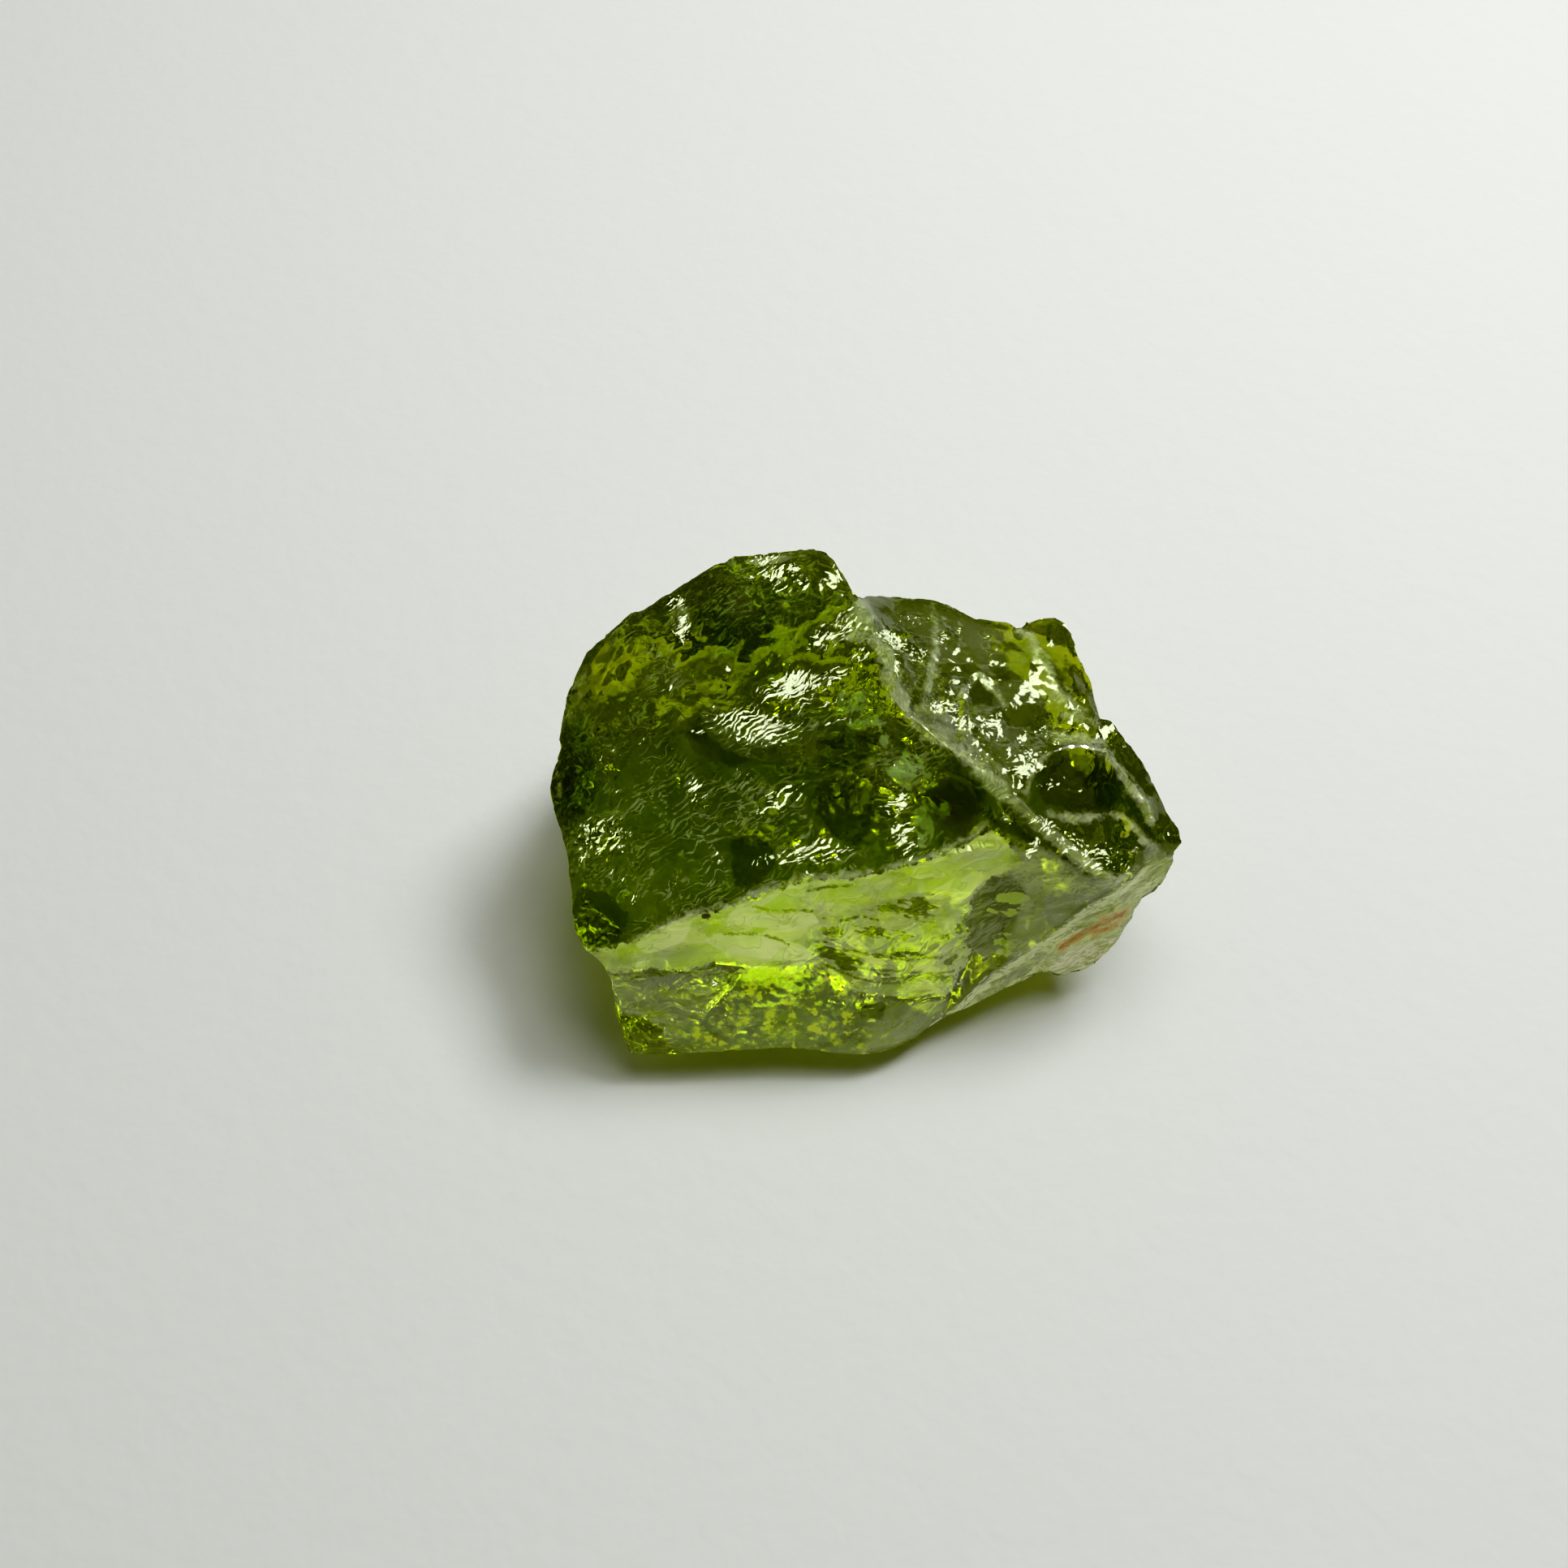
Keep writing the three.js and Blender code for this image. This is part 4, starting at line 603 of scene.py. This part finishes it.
bright = np.maximum.reduce([
    depth_inside([(1028, 856), (1052, 842), (1080, 848), (1090, 868), (1082, 894), (1058, 902), (1034, 886)]),
    depth_inside([(1082, 892), (1100, 888), (1110, 912), (1098, 930), (1086, 918)]),
    depth_inside([(1088, 930), (1112, 922), (1140, 940), (1154, 968), (1136, 980), (1108, 968), (1092, 950)]),
    depth_inside([(1124, 986), (1138, 982), (1152, 1008), (1150, 1040), (1134, 1048), (1126, 1020)])])
FIELDS = dict(edge=edge, bright=bright, hack=hack, isle=isle, smoke=smoke, patch=patch_f, painted_dimming=painted_dimming, mist=mist, cloud=cloud_f, tear=tear_f, fleck=fleck, wave=wave, lime=lime, lean=lean, painted_shade=painted_shade, haze=haze, frost=frost, painted_sheen=painted_sheen, veil=veil, thick=thick, lens=lens, window=painted_reflection, crack=crack, milk=milk, cream=cream, stain=stain, skin=skin, speck=speck, phase=phase, stria=stria, chips=chips)

# ------------------------------------------------------------------ mesh
me = bpy.data.meshes.new("peridot_body")
me.vertices.add(len(V))
me.vertices.foreach_set("co", (V * MM).astype(np.float32).ravel())
me.loops.add(len(T) * 3)
me.loops.foreach_set("vertex_index", T.astype(np.int32).ravel())
me.polygons.add(len(T))
me.polygons.foreach_set("loop_start", np.arange(0, len(T) * 3, 3, dtype=np.int32))
me.polygons.foreach_set("loop_total", np.full(len(T), 3, dtype=np.int32))
me.update(calc_edges=True)
me.validate()
me.polygons.foreach_set("use_smooth", np.ones(len(T), dtype=bool))
for name, data in FIELDS.items():
    at = me.attributes.new(name, "FLOAT", "POINT")
    at.data.foreach_set("value", data.astype(np.float32))
at = me.attributes.new("turn", "FLOAT_VECTOR", "POINT")
at.data.foreach_set("vector", turn_f.astype(np.float32).ravel())
# crease where neighbouring faces turn sharply
fn = np.cross(V[T[:, 1]] - V[T[:, 0]], V[T[:, 2]] - V[T[:, 0]])
fn /= np.maximum(np.linalg.norm(fn, axis=1), 1e-15)[:, None]
if hasattr(me, "set_sharp_from_angle"):
    me.set_sharp_from_angle(angle=math.radians(24))
stone = bpy.data.objects.new("peridot_body", me)
bpy.context.scene.collection.objects.link(stone)
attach(stone, "root")
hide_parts("peridot_stone")


# ------------------------------------------------------------------ materials
def new_material(name):
    m = bpy.data.materials.new(name)
    m.use_nodes = True
    nt = m.node_tree
    nt.nodes.clear()
    return m, nt


class Nodes:
    def __init__(self, nt):
        self.nt = nt

    def __call__(self, kind, **inputs):
        n = self.nt.nodes.new(kind)
        props = inputs.pop("props", {})
        for k, val in props.items():
            setattr(n, k, val)
        for k, val in inputs.items():
            sock = n.inputs[int(k[1:])] if k[0] == "_" and k[1:].isdigit() else n.inputs[k.replace("_", " ")]
            if isinstance(val, bpy.types.NodeSocket):
                self.nt.links.new(val, sock)
            else:
                sock.default_value = val
        return n

    def math(self, op, a, b=0.0, clamp=False):
        n = self("ShaderNodeMath", props={"operation": op, "use_clamp": clamp}, _0=a, _1=b)
        return n.outputs[0]

    def ramp(self, fac, stops):
        n = self("ShaderNodeValToRGB", Fac=fac)
        cr = n.color_ramp
        while len(cr.elements) > 1:
            cr.elements.remove(cr.elements[-1])
        cr.elements[0].position, cr.elements[0].color = stops[0]
        for pos, col in stops[1:]:
            el = cr.elements.new(pos)
            el.color = col
        return n.outputs[0]

    def mix(self, fac, a, b):
        n = self.nt.nodes.new("ShaderNodeMix")
        n.data_type = "RGBA"
        for sock, val in ((n.inputs[0], fac), (n.inputs[6], a), (n.inputs[7], b)):
            if isinstance(val, bpy.types.NodeSocket):
                self.nt.links.new(val, sock)
            else:
                sock.default_value = val
        return n.outputs[2]


def peridot_material():
    m, nt = new_material("peridot")
    N_ = Nodes(nt)
    out = N_("ShaderNodeOutputMaterial")
    co = N_("ShaderNodeTexCoord").outputs["Object"]
    f = {k: N_("ShaderNodeAttribute", props={"attribute_name": k}).outputs["Fac"] for k in FIELDS}

    def noise(scale, detail=3.0, rough=0.6, where=co, out_=0):
        return N_("ShaderNodeTexNoise", Vector=where, Scale=scale, Detail=detail, Roughness=rough).outputs[out_]

    def vmath(op, a, b=None, scale=None):
        n = nt.nodes.new("ShaderNodeVectorMath")
        n.operation = op
        for sock, val in ((n.inputs[0], a), (n.inputs[1], b)):
            if val is None:
                continue
            if isinstance(val, bpy.types.NodeSocket):
                nt.links.new(val, sock)
            else:
                sock.default_value = val
        if scale is not None:
            if isinstance(scale, bpy.types.NodeSocket):
                nt.links.new(scale, n.inputs[3])
            else:
                n.inputs[3].default_value = scale
        return n.outputs["Value"] if op in ("DOT_PRODUCT", "LENGTH", "DISTANCE") else n.outputs[0]

    def mad(a, b, c):
        n = N_("ShaderNodeMath", props={"operation": "MULTIPLY_ADD"}, _0=a, _1=b, _2=c)
        return n.outputs[0]

    def step(x, lo, hi):
        n = N_("ShaderNodeMapRange", props={"interpolation_type": "SMOOTHSTEP"}, Value=x)
        n.inputs["From Min"].default_value = lo
        n.inputs["From Max"].default_value = hi
        return n.outputs[0]

    def layer(x, y, fac):
        n = nt.nodes.new("ShaderNodeMix")
        n.data_type = "FLOAT"
        for sock, val in ((n.inputs[0], fac), (n.inputs[2], x), (n.inputs[3], y)):
            if isinstance(val, bpy.types.NodeSocket):
                nt.links.new(val, sock)
            else:
                sock.default_value = val
        return n.outputs[0]

    fine = noise(3000.0, 2.0, 0.74)
    patch = f["patch"]
    cloud = f["cloud"]
    turn = N_("ShaderNodeAttribute", props={"attribute_name": "turn"}).outputs["Vector"]
    jag = N_.math("SUBTRACT", noise(3600.0, 2.0, 0.8), 0.5)
    flow = vmath("MULTIPLY", co, (0.35, 1.0, 1.0))
    streak = noise(1500.0, 3.0, 0.62, flow)

    dv2 = Vector((0.90, 0.38, 0.20)).normalized()
    bent0 = vmath("ADD", co, vmath("SCALE", turn, scale=0.0009))

    mottle = noise(1900.0, 3.0, 0.66, bent0)

    bent = vmath("ADD", co, vmath("SCALE", turn, scale=0.0006))
    d = Vector((0.78, 0.55, 0.30)).normalized()
    along = vmath("DOT_PRODUCT", bent, tuple(d))
    pulled = vmath("ADD", bent, vmath("SCALE", tuple(d * -0.52), scale=along))
    drawn = vmath("ADD", bent, vmath("SCALE", tuple(d * -0.84), scale=along))
    spark = noise(12500.0, 2.0, 0.65, drawn)
    ph = mad(N_.math("SUBTRACT", noise(1700.0, 2.0), 0.5), 5.0, f["phase"])
    saw = N_.math("PINGPONG", ph, 0.5)
    up = step(f["stria"], 0.0, 1.0)

    # marks, cut crisp by noise
    tear = N_.math("SUBTRACT", f["tear"], 0.5)
    frost_m = step(mad(tear, 1.2, mad(jag, 1.6, f["frost"])), 0.05, 0.75)
    painted_sheen_m = step(mad(jag, 8.0, f["painted_sheen"]), -1.0, 4.0)
    veil_in = step(mad(jag, 18.0, f["veil"]), -0.8, 1.6)
    veil_m = N_.math("MULTIPLY", veil_in, mad(step(streak, 0.30, 0.62), 0.35, 0.65))
    veil_m = N_.math("MULTIPLY", veil_m, f["thick"])
    slant = vmath("ADD", bent0, vmath("SCALE", tuple(dv2 * -0.88), scale=vmath("DOT_PRODUCT", bent0, tuple(dv2))))
    band_h = noise(2300.0, 2.0, 0.70, slant)
    band = step(band_h, 0.36, 0.64)
    dv = Vector((0.96, -0.22, -0.17)).normalized()
    slid = vmath("ADD", co, vmath("SCALE", tuple(dv * -0.70), scale=vmath("DOT_PRODUCT", co, tuple(dv))))
    speckle = noise(2500.0, 3.0, 0.6, slid)
    fleck_m = N_.math("MULTIPLY", step(speckle, 0.565, 0.60), step(mad(jag, 10.0, f["fleck"]), -2.0, 8.0))
    crest_m = N_.math("MULTIPLY", step(speckle, 0.44, 0.40), step(f["wave"], -3.0, 6.0))
    dd = Vector((0.80, 0.53, 0.28)).normalized()
    drawn0 = vmath("ADD", bent0, vmath("SCALE", tuple(dd * -0.80), scale=vmath("DOT_PRODUCT", bent0, tuple(dd))))
    lime_m = step(mad(jag, 34.0, f["lime"]), -12.0, 12.0)
    lens_m = step(mad(jag, 7.0, f["lens"]), -0.5, 1.5)
    painted_reflection_m = step(mad(jag, 16.0, f["window"]), -0.6, 1.2)
    isle = step(mad(N_.math("SUBTRACT", speckle, 0.5), 75.0, f["isle"]), -0.5, 1.5)
    crease = step(N_.math("ABSOLUTE", N_.math("SUBTRACT", band_h, 0.5)), 0.022, 0.0)
    wisp = step(N_.math("ABSOLUTE", N_.math("SUBTRACT", streak, 0.5)), 0.030, 0.0)
    crack_m = N_.math("SUBTRACT", 1.0, step(mad(jag, 7.0, f["crack"]), 0.6, 2.6))
    milk_m = step(mad(jag, 8.0, f["milk"]), -2.0, 8.0)
    milk_m = N_.math("MULTIPLY", milk_m, mad(step(streak, 0.3, 0.65), 0.45, 0.55))
    cream_m = step(mad(jag, 8.0, f["cream"]), -2.0, 6.0)
    stain_m = step(mad(streak, 1.2, mad(jag, 2.2, f["stain"])), 0.70, 1.50)
    speck_m = step(mad(jag, 0.6, f["speck"]), 0.1, 0.4)

    # body tint, painted darker on the down-facing faces near the base (painted shade)
    colour = N_.mix(f["skin"], (1, 1, 1, 1), N_.mix(patch, (0.30, 0.38, 0.12, 1), (0.62, 0.70, 0.36, 1)))
    murk = step(mad(mottle, 0.7, N_.math("MULTIPLY", patch, 0.5)), 0.44, 0.70)
    colour = N_.mix(murk, N_.mix(f["skin"], (0.62, 0.72, 0.30, 1), (0.30, 0.38, 0.12, 1)), colour)
    # painted shade: colour darkened where the dimming field is high
    colour = N_.mix(mad(tear, 0.3, f["painted_dimming"]), colour, (0.03, 0.12, 0.0, 1))
    trans = 1.0
    rough = N_.ramp(patch, [(0.35, (0.02, 0.02, 0.02, 1)), (0.6, (0.04, 0.04, 0.04, 1)), (0.8, (0.14, 0.14, 0.14, 1))])
    for mask, col, tr, ro in (
        # painted shade: the dark patches
        (N_.math("MULTIPLY", step(mad(jag, 16.0, f["painted_shade"]), -2.0, 3.0), 0.9), (0.09, 0.13, 0.01, 1), 1.0, 0.04),
        (N_.math("MULTIPLY", N_.math("MULTIPLY", up, step(saw, 0.34, 0.46)), 0.34), (0.34, 0.48, 0.08, 1), 0.45, 0.22),
        # painted shade: near black where the dimming is strongest
        (step(f["painted_dimming"], 0.80, 0.95), (0.015, 0.03, 0.0, 1), 1.0, 0.05),
        (N_.math("MULTIPLY", N_.math("MULTIPLY", f["hack"], crease), 0.40), (0.30, 0.60, 0.02, 1), 0.40, 0.06),
        (N_.math("MULTIPLY", step(mad(jag, 16.0, f["bright"]), -1.0, 2.0), mad(step(mad(fine, 0.5, N_.math("MULTIPLY", mottle, 0.5)), 0.46, 0.53), 0.50, 0.03)), (0.40, 0.86, 0.0, 1), 0.45, 0.08),
        (N_.math("MULTIPLY", N_.math("MULTIPLY", f["hack"], step(spark, 0.575, 0.625)), 0.46), (0.32, 0.64, 0.06, 1), 0.38, 0.06),
        (N_.math("MULTIPLY", step(mad(jag, 20.0, f["mist"]), -4.0, 10.0), mad(wisp, 0.26, mad(step(streak, 0.44, 0.60), 0.10, 0.02))), (0.22, 0.33, 0.04, 1), 0.40, 0.16),
        (N_.math("MULTIPLY", lime_m, mad(step(mottle, 0.44, 0.56), 0.25, 0.50)), N_.mix(step(mad(fine, 0.7, N_.math("MULTIPLY", mottle, 0.3)), 0.43, 0.59), (0.06, 0.20, 0.0, 1), (0.72, 1.0, 0.0, 1)), 0.50, 0.16),
        (N_.math("MULTIPLY", lime_m, N_.math("MULTIPLY", step(fine, 0.56, 0.62), 0.7)), (0.86, 1.0, 0.02, 1), 0.15, 0.30),
        (veil_m, N_.mix(f["thick"], N_.mix(band, (0.50, 0.78, 0.0, 1), (0.80, 1.0, 0.05, 1)), N_.mix(band, (0.56, 0.82, 0.06, 1), (0.82, 1.0, 0.28, 1))), 0.05, 0.42),
        (N_.math("MULTIPLY", lens_m, 0.9), N_.mix(band, (0.80, 1.0, 0.32, 1), (0.88, 1.0, 0.42, 1)), 0.02, 0.40),
        (N_.math("MULTIPLY", N_.math("MULTIPLY", crease, step(f["veil"], -2.0, 6.0)), 0.42), (0.34, 0.46, 0.06, 1), 0.20, 0.35),
        (N_.math("MULTIPLY", fleck_m, 0.85), (0.30, 0.40, 0.08, 1), 0.85, 0.12),
        (N_.math("MULTIPLY", crest_m, 0.75), (0.88, 0.98, 0.30, 1), 0.15, 0.35),
        # painted reflection: the dark grey patch in the front band
        (painted_reflection_m, N_.mix(step(mad(spark, 0.45, N_.math("MULTIPLY", streak, 0.55)), 0.43, 0.58), (0.03, 0.045, 0.012, 1), (0.22, 0.26, 0.15, 1)), 0.26, 0.26),
        (N_.math("MULTIPLY", N_.math("MULTIPLY", isle, step(f["isle"], -9.0, -5.0)), 0.8), (0.50, 0.70, 0.10, 1), 0.20, 0.30),
        (N_.math("MULTIPLY", step(mad(jag, 14.0, f["haze"]), -3.0, 8.0), mad(step(streak, 0.4, 0.6), 0.30, 0.50)), N_.mix(mad(wisp, 0.7, step(mad(cloud, 0.5, N_.math("MULTIPLY", streak, 0.5)), 0.36, 0.66)), (0.07, 0.15, 0.0, 1), (0.31, 0.43, 0.03, 1)), 0.30, 0.22),
        (N_.math("MULTIPLY", step(mad(jag, 14.0, f["smoke"]), -3.0, 8.0), mad(step(streak, 0.4, 0.6), 0.35, 0.45)), N_.mix(mad(wisp, 0.6, step(mad(spark, 0.5, N_.math("MULTIPLY", band_h, 0.5)), 0.42, 0.58)), (0.08, 0.15, 0.0, 1), (0.50, 0.64, 0.14, 1)), 0.28, 0.28),
        (N_.math("MULTIPLY", crack_m, 0.8), (0.10, 0.14, 0.02, 1), 0.55, 0.15),
        # painted reflection: the pale strips beside the crest
        (N_.math("MULTIPLY", painted_sheen_m, mad(step(streak, 0.4, 0.6), 0.34, 0.12)), (0.34, 0.46, 0.09, 1), 0.38, 0.28),
        (milk_m, N_.mix(mad(wisp, 0.4, mad(step(spark, 0.42, 0.58), 0.55, N_.math("MULTIPLY", band, 0.45))), (0.20, 0.28, 0.04, 1), (0.86, 0.93, 0.44, 1)), 0.20, 0.40),
        (N_.math("MULTIPLY", cream_m, 0.8), N_.mix(mad(crease, -0.7, step(mad(spark, 0.55, N_.math("MULTIPLY", streak, 0.45)), 0.41, 0.57)), (0.46, 0.49, 0.20, 1), (1.0, 0.98, 0.78, 1)), 0.12, 0.45),
        # painted highlight: the pale line along the keel edge
        (N_.math("MULTIPLY", step(mad(N_.math("SUBTRACT", spark, 0.5), 3.0, f["edge"]), 0.15, 0.75), 0.75), (0.93, 0.98, 0.60, 1), 0.10, 0.30),
        (N_.math("MULTIPLY", frost_m, 0.62), N_.mix(step(mad(spark, 0.6, N_.math("MULTIPLY", fine, 0.4)), 0.40, 0.62), (0.24, 0.34, 0.06, 1), (0.74, 0.86, 0.38, 1)), 0.32, 0.32),
        (N_.math("MULTIPLY", stain_m, mad(step(spark, 0.38, 0.60), 0.40, 0.50)), N_.mix(step(mad(N_.math("SUBTRACT", spark, 0.5), 1.6, f["stain"]), 0.35, 0.95), (0.86, 0.46, 0.18, 1), (0.46, 0.08, 0.015, 1)), 0.10, 0.55),
        (speck_m, (0.02, 0.02, 0.015, 1), 0.0, 0.4),
    ):
        colour = N_.mix(mask, colour, col)
        trans = layer(trans, tr, mask)
        rough = layer(rough, ro, mask)

    # small conchoidal chips: cells of the surface, each with its own tilt and its own hollow
    normal = N_("ShaderNodeNewGeometry").outputs["Normal"]
    facing = Vector((0.266, -0.051, 0.963)).normalized()
    cut = layer(spark, mad(saw, 0.60, 0.28), N_.math("MULTIPLY", up, 0.65))
    glint = N_.math("MULTIPLY", step(mad(f["lean"], 0.24, cut), 0.695, 0.745), step(f["lean"], 0.02, 0.30))
    calm = mad(glint, -0.93, 1.0)
    total = vmath("ADD", vmath("SCALE", normal, scale=N_.math("SUBTRACT", 1.0, glint)), vmath("SCALE", tuple(facing), scale=glint))
    rough = N_.math("ADD", rough, N_.math("MULTIPLY", f["painted_dimming"], 0.08))
    rough = layer(rough, 0.06, glint)
    for where, scale_, tilt_, hollow, keep, gain in (
        (bent, 1500.0, 0.30, 0.20, 0.0, mad(f["chips"], 0.8, 0.05)),
        (pulled, 4300.0, 1.20, 0.75, 0.30, N_.math("POWER", f["chips"], 1.4)),
    ):
        v = N_("ShaderNodeTexVoronoi", Vector=where, Scale=scale_)
        tilt = vmath("SCALE", vmath("SUBTRACT", v.outputs["Color"], (0.5, 0.5, 0.5)), scale=tilt_)
        bowl = vmath("SCALE", vmath("SUBTRACT", v.outputs["Position"], where), scale=scale_ * hollow)
        sep = N_("ShaderNodeSeparateColor", Color=v.outputs["Color"])
        on = step(sep.outputs[2], keep, keep + 0.15)
        total = vmath("ADD", total, vmath("SCALE", vmath("ADD", tilt, bowl), scale=N_.math("MULTIPLY", N_.math("MULTIPLY", on, gain), calm)))
    total = vmath("NORMALIZE", total)
    # striations, then fine wear
    worn_m = step(N_.math("MAXIMUM", N_.math("MAXIMUM", f["veil"], f["milk"]), f["haze"]), -4.0, 6.0)
    bc = N_("ShaderNodeBump", Strength=0.8, Distance=0.00007, Height=N_.math("MULTIPLY", band_h, worn_m), Normal=total)
    b2 = N_("ShaderNodeBump", Strength=0.20, Distance=0.00003, Height=fine, Normal=bc.outputs[0])
    p = N_("ShaderNodeBsdfPrincipled", Base_Color=colour, Roughness=rough, IOR=1.67, Specular_Tint=(0.90, 1.0, 0.70, 1), Transmission_Weight=trans, Normal=b2.outputs[0])
    vol = N_("ShaderNodeVolumeAbsorption", Color=(0.825, 0.87, 0.0, 1), Density=500.0)
    nt.links.new(p.outputs[0], out.inputs["Surface"])
    nt.links.new(vol.outputs[0], out.inputs["Volume"])
    return m


me.materials.append(peridot_material())

# ------------------------------------------------------------------ floor, light, camera
scene = bpy.context.scene
floor_me = bpy.data.meshes.new("paper")
S = 0.6
floor_me.from_pydata([(-S, -S, 0), (S, -S, 0), (S, S, 0), (-S, S, 0)], [], [(0, 1, 2, 3)])
floor = bpy.data.objects.new("paper", floor_me)
floor.location.z = -0.00002
scene.collection.objects.link(floor)
m, nt = new_material("paper")
B = Nodes(nt)
out = B("ShaderNodeOutputMaterial")
co = B("ShaderNodeTexCoord").outputs["Object"]
n1 = B("ShaderNodeTexNoise", Vector=co, Scale=1400.0, Detail=2.0, Roughness=0.6)
bump = B("ShaderNodeBump", Strength=0.18, Distance=0.0001, Height=n1.outputs[0])
p = B("ShaderNodeBsdfPrincipled", Base_Color=(0.81, 0.83, 0.81, 1), Roughness=0.9, Normal=bump.outputs[0])
nt.links.new(p.outputs[0], out.inputs["Surface"])
floor_me.materials.append(m)


def area_light(name, loc, target, size, power, colour=(1, 1, 1), spread=math.pi):
    l = bpy.data.lights.new(name, "AREA")
    l.shape = "RECTANGLE"
    l.size, l.size_y = size
    l.energy = power
    l.color = colour
    l.spread = spread
    o = bpy.data.objects.new(name, l)
    o.location = loc
    o.rotation_euler = (Vector(target) - Vector(loc)).to_track_quat("-Z", "Y").to_euler()
    o.visible_camera = False
    scene.collection.objects.link(o)
    return o


area_light("window", (0.1178, 0.1062, 0.2034), (0.03, 0.03, 0.0), (0.098, 0.080), 0.1105, (1.0, 1.0, 0.98), math.radians(110.0))
area_light("ceiling", (0.0205, 0.0350, 0.1230), (0, 0, 0.003), (0.086, 0.076), 0.060, (1.0, 1.0, 0.985)).visible_glossy = False
fill = area_light("fill", (-0.06, -0.38, 0.29), (0, 0, 0.004), (0.42, 0.16), 0.43, (1.0, 1.0, 0.99))
fill.visible_glossy = False
lit = bpy.data.collections.new("lit_by_fill")
lit.objects.link(stone)
fill.light_linking.receiver_collection = lit
world = bpy.data.worlds.new("room")
scene.world = world
world.use_nodes = True
nt = world.node_tree
nt.nodes.clear()
W = Nodes(nt)
out = W("ShaderNodeOutputWorld")
d = W("ShaderNodeTexCoord").outputs["Generated"]
side = nt.nodes.new("ShaderNodeVectorMath")
side.operation = "DOT_PRODUCT"
nt.links.new(d, side.inputs[0])
side.inputs[1].default_value = Vector((0.16, 0.27, 0.95)).normalized()
glow = W.ramp(W.math("MULTIPLY_ADD", side.outputs["Value"], 0.5), [(0.0, (0.04, 0.04, 0.04, 1)), (0.5, (0.10, 0.10, 0.10, 1)), (0.75, (0.14, 0.14, 0.14, 1)), (0.88, (0.20, 0.20, 0.20, 1)), (0.94, (0.26, 0.26, 0.26, 1)), (1.0, (0.30, 0.30, 0.30, 1))])
for n in nt.nodes:
    if n.type == "MATH":
        n.inputs[2].default_value = 0.5
# the darker part of the room, on the near side
dim = nt.nodes.new("ShaderNodeVectorMath")
dim.operation = "DOT_PRODUCT"
nt.links.new(d, dim.inputs[0])
dim.inputs[1].default_value = Vector((-0.10, -0.56, 0.82)).normalized()
shade = W.ramp(dim.outputs["Value"], [(0.0, (1, 1, 1, 1)), (0.58, (0.8, 0.8, 0.8, 1)), (0.80, (0.16, 0.16, 0.16, 1)), (1.0, (0.10, 0.10, 0.10, 1))])
room = nt.nodes.new("ShaderNodeMix")
room.data_type = "RGBA"
room.blend_type = "MULTIPLY"
room.inputs[0].default_value = 1.0
nt.links.new(glow, room.inputs[6])
nt.links.new(shade, room.inputs[7])
bg = W("ShaderNodeBackground", Color=room.outputs[2], Strength=1.0)
nt.links.new(bg.outputs[0], out.inputs[0])

cam_data = bpy.data.cameras.new("camera")
cam_data.lens = LENS
cam_data.sensor_width = SENSOR
cam_data.clip_start = 0.001
cam_data.clip_end = 5.0
cam = bpy.data.objects.new("camera", cam_data)
cam.location = tuple(EYE * MM)
cam.rotation_euler = (math.radians(90.0) - TILT, 0, 0)
scene.collection.objects.link(cam)
scene.camera = cam
scene.view_settings.view_transform = "Standard"
scene.view_settings.look = "Medium High Contrast"
scene.view_settings.use_curve_mapping = True
curves = scene.view_settings.curve_mapping
blue = curves.curves[2]
for x, y in ((0.03, 0.006), (0.08, 0.050), (0.18, 0.150), (0.40, 0.385), (0.70, 0.695)):
    blue.points.new(x, y)
curves.update()
scene.cycles.max_bounces = 8
scene.cycles.transmission_bounces = 8
scene.cycles.glossy_bounces = 8
scene.cycles.diffuse_bounces = 2
scene.cycles.volume_bounces = 0
scene.cycles.use_light_tree = False
world.cycles.sampling_method = "NONE"
scene.cycles.caustics_reflective = True
scene.cycles.caustics_refractive = True
scene.cycles.blur_glossy = 0.6
scene.cycles.sample_clamp_indirect = 12.0
